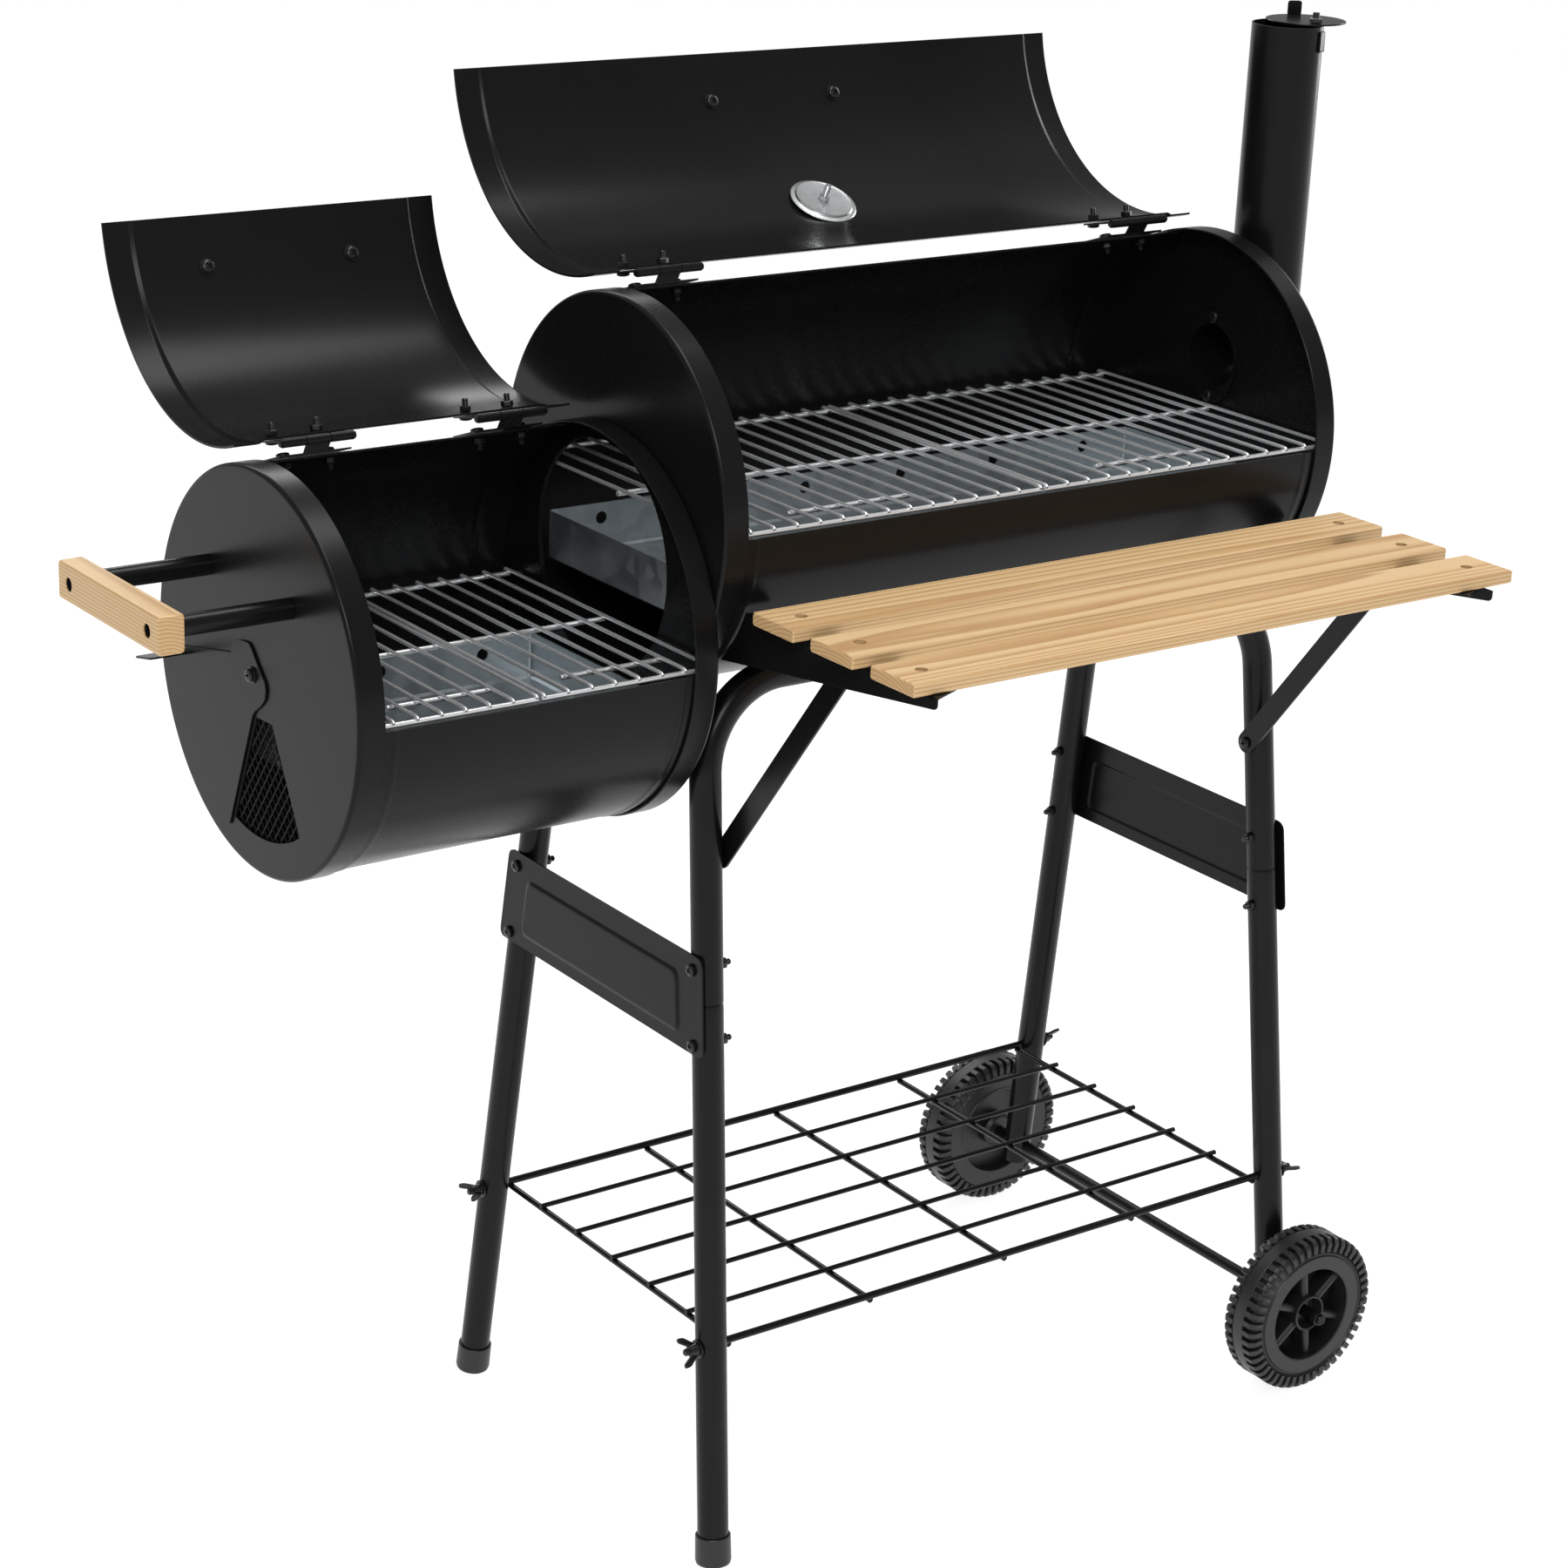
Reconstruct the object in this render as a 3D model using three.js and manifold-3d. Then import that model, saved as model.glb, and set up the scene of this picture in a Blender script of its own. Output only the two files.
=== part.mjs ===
// Offset smoker: a barbecue drum with a smaller fire drum bolted to its left end, on a tube stand.
// Millimetres, +Z up, -Y is the cook's side. Both lids are swung open and the vent is open.
// The origin is on the ground, under the middle of the object's bounding box.

import * as THREE from 'three';
import { mergeVertices } from 'three/addons/utils/BufferGeometryUtils.js';
import Module from 'manifold-3d';

const wasm = await Module();
wasm.setup();

// ---------- driving dimensions ----------
const GAP = 0.3;                       // clearance between pieces that touch
const SHEET = 1.5;                     // steel sheet
const DRUM_X = -150;                   // outer face of the main drum's left cap
const DRUM_Y = 33.9;                   // both drums' axis
const MAIN = { x0: 0, x1: 600, z: 823, name: 'main', lid: [4.8, 592.6], pan: [6, 6] };
const FIRE = { x0: -297, x1: -GAP, z: 727, name: 'firebox', lid: [-293, -14.6], pan: [20, 6] };
const BARREL_R = 147.5;
const CAP_R = 150;
const CAP_BAND = 21;                   // width of a cap's rim
const OPENING = [77, 181];             // degrees from +Y, over the top to the front
const LID_R = 156;
const LID_STRIP = 22;                  // raised strip along each side of a lid
const LID_JOGGLE = 2;
const LID_ANGLES = [-109.5, -9.5];     // degrees about the open lid's own centre
const HINGE = { y: 31, z: 156 };       // hinge pin, from the drum's axis
const LID_CENTRE = { y: 56, z: 147.5 };// open lid's centre, from the hinge pin
const HINGE_WIDTH = 58;
const HINGE_INSET = 68;                // hinge middle, from the drum's end
const TURN_SIDES = 40;                 // facets round a cap
const LID_SIDES = 48;                  // facets a full turn of a lid would have
const ARC_STEPS = 20;                  // facets along a drum's quarter
const TUBE_SIDES = 14;
const HANDLE = { length: 156, depth: 20, height: 28, spacing: 122, tube: 7.8 };
const LID_HANDLE = { angle: -24, standoff: 45 };
const SIDE_HANDLE = { standoff: 87.7, y: 8, z: 63 };
const TRANSFER = { y: 8, z: 773.4, r: 88.5 };   // round opening between the drums
const FLUE = { y: 0, z: 866, r: 28.4, outer: 29.5, bend: 52, top: 1138 };
const GRATE = { lift: 2, front: -141.5, back: 136, past: 2.5, bar: 2, rod: 2.5, gap: 3, bite: 0.8 };
const LEG_R = 12.3;
const LEG_WALL = 1.5;
const SPLAY_X = 0.031;                 // leg lean per millimetre of height
const SPLAY_Y = 0.1207;
const FOOT = { left: 0.7, right: 597.2, y: 182.8 };  // leg axes at ground level
const JOINT_Z = 455;                   // where upper frames meet the lower legs
const FRAME_TOP = 697;
const FRAME_BEND = 71;
const SHELF = { z: 773, x0: 15, x1: 596, plank: 50, pitch: 70, thick: 10, back: -166 };
const PLANK_HOLE = { inset: 25, r: 4.6, deep: 6 };
const BRACKET = { tip: -363, tipDepth: 9, corner: 4, rootDepth: 44.5, flange: 26 };
const STRUT = { low: [-115, 565], high: [-253, 748], r: 9.2, thick: 2.5 };
const RACK = { z: 181, wires: 7, cross: 5, wire: 2.2, rod: 3 };
const WHEEL = { r: 70.5, width: 38, front: -207, rear: 222, rim: 15, hub: 16.5, bore: 5.3 };
const SPOKE = { count: 6, half: 7, depth: 10 };
const AXLE = { x: 596.4, r: 5, front: -238, rear: 250 };
const PANEL = { top: 494.5, bottom: 416.5, past: 1.2, corner: 8, sheet: 1.4, raise: 1.6 };
const FIELD = { top: 475.5, bottom: 428, halfTop: 107, halfBottom: 113 };  // pressed part of a side panel

// ---------- materials ----------
const paint = new THREE.MeshStandardMaterial({ color: 0x2b2c2e, roughness: 0.42, metalness: 0.35 });
const pine = new THREE.MeshStandardMaterial({ color: 0xdcb783, roughness: 0.6, metalness: 0 });
const chrome = new THREE.MeshStandardMaterial({ color: 0xc8ccd0, roughness: 0.2, metalness: 1 });
const zinc = new THREE.MeshStandardMaterial({ color: 0x9aa1a5, roughness: 0.4, metalness: 0.9 });
const plastic = new THREE.MeshStandardMaterial({ color: 0x1b1b1c, roughness: 0.55, metalness: 0 });

// ---------- geometry helpers ----------
const radians = THREE.MathUtils.degToRad;
const V = (x, y, z) => new THREE.Vector3(x, y, z);
const polar = (radius, degrees) => [radius * Math.cos(radians(degrees)), radius * Math.sin(radians(degrees))];

function toSolid(geometry) {
  const bare = geometry.clone();
  bare.deleteAttribute('normal');
  bare.deleteAttribute('uv');
  const merged = mergeVertices(bare, 1e-3);
  const triVerts = Uint32Array.from(merged.index.array);
  const vertProperties = Float32Array.from(merged.attributes.position.array);
  let solid = new wasm.Manifold(new wasm.Mesh({ numProp: 3, vertProperties, triVerts }));
  if (solid.volume() < 0) {
    const flipped = triVerts.map((_, i) => triVerts[i - (i % 3) + [0, 2, 1][i % 3]]);
    solid = new wasm.Manifold(new wasm.Mesh({ numProp: 3, vertProperties, triVerts: flipped }));
  }
  return solid;
}

function toGeometry(solid) {
  const { vertProperties, triVerts } = solid.getMesh();
  const geometry = new THREE.BufferGeometry();
  geometry.setAttribute('position', new THREE.BufferAttribute(new Float32Array(vertProperties), 3));
  geometry.setIndex(new THREE.BufferAttribute(new Uint32Array(triVerts), 1));
  geometry.computeVertexNormals();
  return geometry;
}

const join = (...solids) => solids.reduce((whole, next) => whole.add(next));
const cut = (solid, ...tools) => tools.reduce((whole, tool) => whole.subtract(tool), solid);

const smoker = new THREE.Group();
smoker.position.set(DRUM_X, DRUM_Y, 0);

function add(name, solid, material) {
  const mesh = new THREE.Mesh(toGeometry(solid), material);
  mesh.name = name;
  smoker.add(mesh);
}

// A shape drawn in (y, z) and extruded along X.
function alongX(shape, x0, x1, curveSegments = 12) {
  const geometry = new THREE.ExtrudeGeometry(shape, { depth: x1 - x0, bevelEnabled: false, curveSegments });
  geometry.applyMatrix4(new THREE.Matrix4().makeBasis(V(0, 1, 0), V(0, 0, 1), V(1, 0, 0)));
  return toSolid(geometry.translate(x0, 0, 0));
}

function block(x0, x1, y0, y1, z0, z1) {
  const geometry = new THREE.BoxGeometry(x1 - x0, y1 - y0, z1 - z0);
  return toSolid(geometry.translate((x0 + x1) / 2, (y0 + y1) / 2, (z0 + z1) / 2));
}

function rod(from, to, radius, sides = 16) {
  const length = from.distanceTo(to);
  const geometry = new THREE.CylinderGeometry(radius, radius, length, sides);
  const turn = new THREE.Quaternion().setFromUnitVectors(V(0, 1, 0), to.clone().sub(from).normalize());
  geometry.applyQuaternion(turn);
  const middle = from.clone().add(to).multiplyScalar(0.5);
  return toSolid(geometry.translate(middle.x, middle.y, middle.z));
}

const rodX = (x0, x1, y, z, radius, sides) => rod(V(x0, y, z), V(x1, y, z), radius, sides);

function tube(from, to, radius, wall, sides = TUBE_SIDES) {
  const reach = to.clone().sub(from).normalize();
  const bore = rod(from.clone().sub(reach), to.clone().add(reach), radius - wall, sides);
  return cut(rod(from, to, radius, sides), bore);
}

// A solid of revolution about the X axis; the profile is a list of [radius, x].
function turnedX(profile, y, z, segments = 48) {
  const points = profile.map(([r, x]) => new THREE.Vector2(r, x));
  const geometry = new THREE.LatheGeometry(points, segments).rotateZ(-Math.PI / 2);
  return toSolid(geometry.translate(0, y, z));
}

// An outline of straight points.
function outline(points) {
  return new THREE.Shape(points.map(([u, v]) => new THREE.Vector2(u, v)));
}

// A closed band between two radii, from one angle to another.
function arcBand(outer, inner, from, to) {
  const shape = new THREE.Shape();
  shape.absarc(0, 0, outer, radians(from), radians(to), false);
  shape.absarc(0, 0, inner, radians(to), radians(from), true);
  shape.closePath();
  return shape;
}

// A path through fixed points, each with its own tangent, for sweeping a section.
class Route extends THREE.Curve {
  constructor(stations) {
    super();
    this.stations = stations;
  }
  at(t) {
    return this.stations[Math.round(t * (this.stations.length - 1))];
  }
  getPoint(t, target = new THREE.Vector3()) {
    return target.copy(this.at(t).point);
  }
  getTangent(t, target = new THREE.Vector3()) {
    return target.copy(this.at(t).tangent);
  }
  getUtoTmapping(u) {
    return u;
  }
}

// Straight runs between corners, each inner corner rounded to the bend radius.
function route(corners, bend, stepsPerBend) {
  const towards = (a, b) => b.clone().sub(a).normalize();
  const stations = [{ point: corners[0], tangent: towards(corners[0], corners[1]) }];
  for (let i = 1; i < corners.length - 1; i += 1) {
    const into = towards(corners[i - 1], corners[i]);
    const out = towards(corners[i], corners[i + 1]);
    const angle = into.angleTo(out);
    const axis = into.clone().cross(out).normalize();
    const start = corners[i].clone().addScaledVector(into, -bend * Math.tan(angle / 2));
    const centre = start.clone().addScaledVector(axis.clone().cross(into), bend);
    for (let k = 0; k <= stepsPerBend; k += 1) {
      const turn = (angle * k) / stepsPerBend;
      stations.push({
        point: start.clone().sub(centre).applyAxisAngle(axis, turn).add(centre),
        tangent: into.clone().applyAxisAngle(axis, turn),
      });
    }
  }
  const last = corners.length - 1;
  stations.push({ point: corners[last], tangent: towards(corners[last - 1], corners[last]) });
  return new Route(stations);
}

function sweep(path, outer, inner, sides) {
  const ring = (radius) => Array.from({ length: sides }, (_, k) => {
    const [u, v] = polar(radius, (360 * k) / sides);
    return new THREE.Vector2(u, v);
  });
  const shape = new THREE.Shape(ring(outer));
  if (inner > 0) {
    shape.holes.push(new THREE.Path(ring(inner)));
  }
  const settings = { steps: path.stations.length - 1, extrudePath: path, bevelEnabled: false };
  return toSolid(new THREE.ExtrudeGeometry(shape, settings));
}

// ---------- drums ----------
function barrel(drum) {
  const shape = arcBand(BARREL_R, BARREL_R - SHEET, OPENING[1], OPENING[0] + 360);
  const inset = SHEET + GAP;
  const solid = alongX(shape, drum.x0 + inset, drum.x1 - inset, ARC_STEPS);
  add(`${drum.name}_barrel`, solid.translate([0, 0, drum.z]), paint);
}

// A shallow dish: the end disc, a rounded edge and the rim band that holds the barrel.
function capSolid(drum, face, inward) {
  const edge = 3;
  const inner = BARREL_R + 2 * GAP;
  const [out, along] = polar(edge, 45);
  const at = (reach) => face + inward * reach;
  return turnedX([
    [0, face], [CAP_R - edge, face], [CAP_R - edge + out, at(edge - along)], [CAP_R, at(edge)],
    [CAP_R, at(CAP_BAND)], [inner, at(CAP_BAND)], [inner, at(SHEET)], [0, at(SHEET)],
  ], 0, drum.z, TURN_SIDES);
}

function caps() {
  const passage = rodX(FIRE.x1 - 5, 5, TRANSFER.y, TRANSFER.z, TRANSFER.r, 32);
  const flue = rodX(MAIN.x1 - 5, MAIN.x1 + 5, FLUE.y, FLUE.z, FLUE.r, 20);
  add('main_left_cap', cut(capSolid(MAIN, MAIN.x0, 1), passage), paint);
  add('main_right_cap', cut(capSolid(MAIN, MAIN.x1, -1), flue), paint);
  add('firebox_right_cap', cut(capSolid(FIRE, FIRE.x1, -1), passage), paint);
  const pivot = rodX(FIRE.x0 - 5, FIRE.x0 + 5, 0, FIRE.z, VENT.pivot + GAP, 16);
  add('firebox_left_cap', cut(capSolid(FIRE, FIRE.x0, 1), ventOpening(), pivot), paint);
}

// ---------- lids ----------
const hingePin = (drum) => ({ y: HINGE.y, z: drum.z + HINGE.z });
const lidCentre = (drum) => ({ y: HINGE.y + LID_CENTRE.y, z: drum.z + HINGE.z + LID_CENTRE.z });
const hingeMiddles = (drum) => [drum.x0 + HINGE_INSET, drum.x1 - HINGE_INSET];

// A point on the open lid: radius and angle about its centre.
function onLid(drum, x, radius, degrees) {
  const { y, z } = lidCentre(drum);
  const [dy, dz] = polar(radius, degrees);
  return V(x, y + dy, z + dz);
}

// A rolled sheet, stepped down by one joggle between the strips along its two sides.
function lid(drum, ...holes) {
  const [x0, x1] = drum.lid;
  const { y, z } = lidCentre(drum);
  const low = LID_R - LID_JOGGLE;
  const ramp = LID_JOGGLE / 2;
  const skin = (lift) => [
    [LID_R - lift, x0], [LID_R - lift, x0 + LID_STRIP - ramp], [low - lift, x0 + LID_STRIP + ramp],
    [low - lift, x1 - LID_STRIP - ramp], [LID_R - lift, x1 - LID_STRIP + ramp], [LID_R - lift, x1],
  ];
  const profile = [...skin(0), ...skin(SHEET).reverse(), skin(0)[0]];
  const [from, to] = LID_ANGLES;
  const wedge = alongX(arcBand(LID_R + 10, LID_R - 20, from, to), x0 - 1, x1 + 1, 8);
  const solid = turnedX(profile, 0, 0, LID_SIDES).intersect(wedge).translate([0, y, z]);
  add(`${drum.name}_lid`, cut(solid, ...holes), paint);
}

// A wooden bar on two tube standoffs, built along Y and standing out in -X, then placed.
function handle(name, standoff, place) {
  const half = HANDLE.length / 2;
  const bar = block(
    -standoff - GAP - HANDLE.depth, -standoff - GAP, -half, half, -HANDLE.height / 2, HANDLE.height / 2,
  );
  add(`${name}_handle`, place(bar), pine);
  [['rear', 1], ['front', -1]].forEach(([end, side]) => {
    const y = (side * HANDLE.spacing) / 2;
    const post = tube(V(-standoff, y, 0), V(-GAP, y, 0), HANDLE.tube, SHEET, 14);
    add(`${name}_standoff_${end}`, place(post), paint);
  });
}

function lidHandle(drum) {
  const middle = (drum.lid[0] + drum.lid[1]) / 2;
  const seat = onLid(drum, middle, LID_R + GAP, LID_HANDLE.angle);
  // The bar turns from Y to X, then the posts turn to the lid's outward normal.
  handle(`${drum.name}_lid`, LID_HANDLE.standoff, (solid) => solid
    .rotate([0, 0, 90])
    .rotate([LID_HANDLE.angle + 180, 0, 0])
    .translate([seat.x, seat.y, seat.z]));
}

// One leaf lies on the lid and one on the drum, on either side of the folded hinge.
const LEAF = {
  thick: 1.4, knuckle: 3.4, pin: 1.8, sides: 10,
  onLid: [[1.5, 1.3], [34, -5.8]], onDrum: [[2.5, -11], [34, -22.2]],
};

function hinge(drum, side, x) {
  const pin = hingePin(drum);
  const half = HINGE_WIDTH / 2;
  const third = HINGE_WIDTH / 6;
  const { thick, knuckle, sides } = LEAF;
  // A leaf's line is its face against the sheet; the plate is on the other side of it.
  const plate = (line, lift) => alongX(
    outline([...line, ...line.map(([y, z]) => [y, z + lift]).reverse()]), -half, half);
  const clear = block(-third - GAP, third + GAP, -6, knuckle + 1, -6, 6);
  const outer = [[-half, -third - GAP], [third + GAP, half]];
  const barrels = outer.map(([a, b]) => rodX(a, b, 0, 0, knuckle, sides));
  const rivet = rodX(-half - 1.5, half + 1.5, 0, 0, LEAF.pin, sides);
  const lidLeaf = join(cut(plate(LEAF.onLid, -thick), clear), ...barrels, rivet);

  const [foot] = LEAF.onDrum;
  const web = alongX(outline([[-1.5, -1], [2.9, 1], [foot[0] + 3, foot[1] + 1], foot]), -third, third);
  const middle = rodX(-third, third, 0, 0, knuckle, sides);
  const pinBore = rodX(-half, half, 0, 0, LEAF.pin + GAP, sides);
  const drumLeaf = cut(join(plate(LEAF.onDrum, thick), web, middle), pinBore);

  const placed = (solid) => solid.translate([x, pin.y, pin.z]);
  add(`${drum.name}_${side}_hinge_lid_leaf`, placed(lidLeaf), paint);
  add(`${drum.name}_${side}_hinge_drum_leaf`, placed(drumLeaf), paint);
}

function hinges(drum) {
  const [left, right] = hingeMiddles(drum);
  hinge(drum, 'left', left);
  hinge(drum, 'right', right);
}

// ---------- lid thermometer ----------
const DIAL = { angle: -64, r: 30, thick: 12, stem: 4, plate: 28, sides: 26 };

// The dial is outside the lid, and the plate is held against its inner side by the stem.
function thermometer() {
  const middle = (MAIN.x0 + MAIN.x1) / 2;
  const at = (radius) => onLid(MAIN, middle, radius, DIAL.angle);
  const skin = LID_R - LID_JOGGLE;
  const inside = skin - SHEET - 3.4;
  const bore = rod(at(skin - 20), at(skin + 5), DIAL.stem + GAP, 12);
  const stem = rod(at(skin - 24), at(skin + 6), DIAL.stem, 12);
  const dial = rod(at(skin + 1), at(skin + 1 + DIAL.thick), DIAL.r, DIAL.sides);
  add('thermometer_dial', join(stem, dial), chrome);
  add('thermometer_plate', cut(rod(at(inside - 1.8), at(inside), DIAL.plate, DIAL.sides), bore), zinc);
  return bore;
}

// ---------- air vent on the firebox's left cap ----------
const VENT = {
  pivot: 3.2, plate: 1.5, mesh: 1.2, meshInner: 25, grow: 6,
  opening: { inner: [[-2.4, -31.1], [-25.9, -29.9]], r: 121.5, from: -122.6, to: -74.8 },
  fan: { r: 130.3, from: -73.2, to: -5.9 },
  tab: { lean: -12.2, near: 92, far: 118, rise: 10.4, reach: 34, half: 0.8 },
};
// The damper's rounded middle, from its top edge round the pivot to its lower edge.
const DAMPER_HUB = [
  [32.4, 7.7], [29.5, 14.5], [24, 19], [18.4, 20.6], [10, 22], [4.9, 21.8], [0.5, 18.5], [-6.6, 10.6],
  [-14, 3.2], [-18.1, -0.5], [-20, -6.5], [-18.5, -13], [-12.7, -19.6], [-6, -24.5], [-2.5, -26.9],
  [0.2, -30.5], [1, -32.2],
];

function ventOpening() {
  const { inner, r, from, to } = VENT.opening;
  const shape = outline(inner);
  shape.lineTo(...polar(r, from));
  shape.absarc(0, 0, r, radians(from), radians(to), false);
  shape.closePath();
  return alongX(shape, FIRE.x0 - 5, FIRE.x0 + 5, 6).translate([0, 0, FIRE.z]);
}

function vent() {
  const face = FIRE.x0 - GAP;
  const outer = face - VENT.plate;
  const { fan, tab, opening, grow } = VENT;
  const plateShape = outline(DAMPER_HUB);
  plateShape.lineTo(...polar(fan.r, fan.from));
  plateShape.absarc(0, 0, fan.r, radians(fan.from), radians(fan.to), false);
  plateShape.closePath();
  const hole = rodX(outer - 1, face + 1, 0, 0, VENT.pivot + GAP, 14);
  const [under, over] = [tab.rise - tab.half, tab.rise + tab.half];
  const lug = block(outer - tab.reach, outer + 0.5, tab.near, tab.far, under, over).rotate([tab.lean, 0, 0]);
  const plate = cut(join(alongX(plateShape, outer, face, 8), lug), hole);
  add('air_damper', plate.translate([0, 0, FIRE.z]), paint);

  const seat = outer - GAP;
  const head = turnedX([
    [0, seat - 3.2], [3.4, seat - 2.8], [5.4, seat - 0.8], [5.4, seat],
    [VENT.pivot, seat], [VENT.pivot, face + 8], [0, face + 8],
  ], 0, FIRE.z, 16);
  add('damper_pivot_screw', head, paint);

  const behind = FIRE.x0 + SHEET + GAP;
  const sheet = arcBand(opening.r + grow, VENT.meshInner, opening.from - 2 * grow, opening.to + grow);
  add('vent_mesh', alongX(sheet, behind, behind + VENT.mesh, 6).translate([0, 0, FIRE.z]), paint);
}

// ---------- cooking grates ----------
// Level bars run front to back, lying on a rear, a middle and a front rod and on one short rod.
function grate(name, x0, x1, drum, bars, shortRod) {
  const { lift, front, back, past, bar, rod: rodR, gap, bite } = GRATE;
  const z = drum.z + lift;
  const pitch = (x1 - x0 - 2 * bar) / (bars - 1);
  const barAt = (i) => x0 + bar + i * pitch;
  const parts = Array.from({ length: bars }, (_, i) => rod(
    V(barAt(i), front - past, z), V(barAt(i), back, z), bar, 6));
  const under = z - bar - rodR + bite;
  [back - gap, -gap, front].forEach((y) => parts.push(rodX(x0, x1, y, under, rodR, 6)));
  const [from, to] = shortRod.map(barAt);
  parts.push(rodX(from, to, front + 34, under, rodR, 6));
  add(name, join(...parts), chrome);
}

function grates() {
  const { gap } = GRATE;
  const inset = SHEET + gap;
  [[MAIN, inset, 15, [4, 9]], [FIRE, inset + 5, 8, [2, 6]]].forEach(([drum, left, bars, shortRod]) => {
    const middle = (drum.x0 + drum.x1) / 2;
    grate(`${drum.name}_grate_left`, drum.x0 + left, middle - gap / 2, drum, bars, shortRod);
    grate(`${drum.name}_grate_right`, middle + gap / 2, drum.x1 - inset, drum, bars, shortRod);
  });
}

// ---------- charcoal pans ----------
const PAN = { drop: 76, depth: 38, half: 96, sheet: 1.2, hole: 5, pitch: 95 };

// An open tray with draught holes in its floor and along its two long walls.
function pan(drum) {
  const [x0, x1] = [drum.x0 + drum.pan[0], drum.x1 - drum.pan[1]];
  const { half, sheet, depth, hole } = PAN;
  const z = drum.z - PAN.drop;
  const tray = cut(
    block(x0, x1, -half, half, z, z + depth),
    block(x0 + sheet, x1 - sheet, -half + sheet, half - sheet, z + sheet, z + depth + 1),
  );
  const columns = Math.round((x1 - x0) / PAN.pitch);
  const holes = Array.from({ length: columns }, (_, i) => {
    const x = x0 + ((i + 0.5) * (x1 - x0)) / columns;
    const floor = [-half / 2, half / 2].map((y) => rod(V(x, y, z - 1), V(x, y, z + 3), hole, 6));
    const wallZ = z + depth - 12;
    return [...floor, rod(V(x, -half - 1, wallZ), V(x, half + 1, wallZ), hole, 6)];
  });
  add(`${drum.name}_charcoal_pan`, cut(tray, ...holes.flat()), zinc);
}

// ---------- chimney ----------
const DAMPER = { r: 33, thick: 1.5, pivotReach: 24, bolt: 3, openBy: -50, pivot: { dx: 10.2, dy: -21.4 } };

// A pipe bent up from the cap, with a plate round its root and a lug for the rain cap's bolt.
function chimney() {
  const pipeX = MAIN.x1 + FLUE.bend;
  const corners = [V(MAIN.x1 + GAP, FLUE.y, FLUE.z), V(pipeX, FLUE.y, FLUE.z), V(pipeX, FLUE.y, FLUE.top)];
  const shell = sweep(route(corners, FLUE.bend - 2, 4), FLUE.outer, FLUE.outer - SHEET, 18);
  const flangeShape = new THREE.Shape();
  flangeShape.absellipse(FLUE.y, FLUE.z, 38, 48, 0, 2 * Math.PI);
  const flange = alongX(flangeShape, MAIN.x1 + GAP, MAIN.x1 + GAP + SHEET, 10);
  const bore = rodX(MAIN.x1 - 1, MAIN.x1 + 4, FLUE.y, FLUE.z, FLUE.outer - SHEET, 18);
  const pivot = capPivot();
  const lug = join(
    block(-5, 5, -5, 7.5, -20, -18.5), block(-5, 5, 6, 7.5, -20, -4),
  ).rotate([0, 0, THREE.MathUtils.radToDeg(Math.atan2(DAMPER.pivot.dy, DAMPER.pivot.dx)) - 90]);
  const bolt = rod(V(pivot.x, pivot.y, FLUE.top - 40), V(pivot.x, pivot.y, FLUE.top), DAMPER.bolt + GAP, 12);
  const body = join(shell, flange, lug.translate([pivot.x, pivot.y, FLUE.top]));
  add('chimney_pipe', cut(body, bore, bolt), paint);
}

// The rain cap turns on a bolt that stands just inside the pipe, towards the cook.
const capPivot = () => ({ x: MAIN.x1 + FLUE.bend + DAMPER.pivot.dx, y: FLUE.y + DAMPER.pivot.dy });

function chimneyCap() {
  const pivot = capPivot();
  const bottom = FLUE.top + 1;
  const { r, thick, pivotReach, bolt, openBy } = DAMPER;
  const disc = rod(V(0, 0, 0), V(0, 0, thick), r, 36);
  const tab = block(r - 4, r - 2.5, -6, 6, 0.5, 13);
  const hole = rod(V(0, 0, -1), V(0, 0, 3), bolt + GAP, 12);
  const shut = THREE.MathUtils.radToDeg(Math.atan2(-DAMPER.pivot.dy, -DAMPER.pivot.dx));
  const plate = cut(join(disc, tab).translate([pivotReach, 0, 0]), hole).rotate([0, 0, shut + openBy]);
  add('chimney_cap', plate.translate([pivot.x, pivot.y, bottom]), paint);

  const top = bottom + 8;
  const shank = rod(V(pivot.x, pivot.y, FLUE.top - 32), V(pivot.x, pivot.y, top), bolt, 12);
  const head = rod(V(pivot.x, pivot.y, bottom + thick + GAP), V(pivot.x, pivot.y, top), 5.5, 6);
  add('chimney_bolt', join(shank, head), zinc);
}

// ---------- stand ----------
// A point on a leg's axis: end is 0 for the left legs and 1 for the right, side is -1 front, 1 rear.
function onLeg(end, side, z) {
  const x = end ? FOOT.right - SPLAY_X * z : FOOT.left + SPLAY_X * z;
  return V(x, side * (FOOT.y - SPLAY_Y * z), z);
}

function frames() {
  [['front', -1], ['rear', 1]].forEach(([name, side]) => {
    const corners = [
      onLeg(0, side, JOINT_Z + GAP), onLeg(0, side, FRAME_TOP),
      onLeg(1, side, FRAME_TOP), onLeg(1, side, JOINT_Z + GAP),
    ];
    const path = route(corners, FRAME_BEND, 5);
    add(`${name}_frame`, sweep(path, LEG_R, LEG_R - LEG_WALL, TUBE_SIDES), paint);
  });
}

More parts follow.
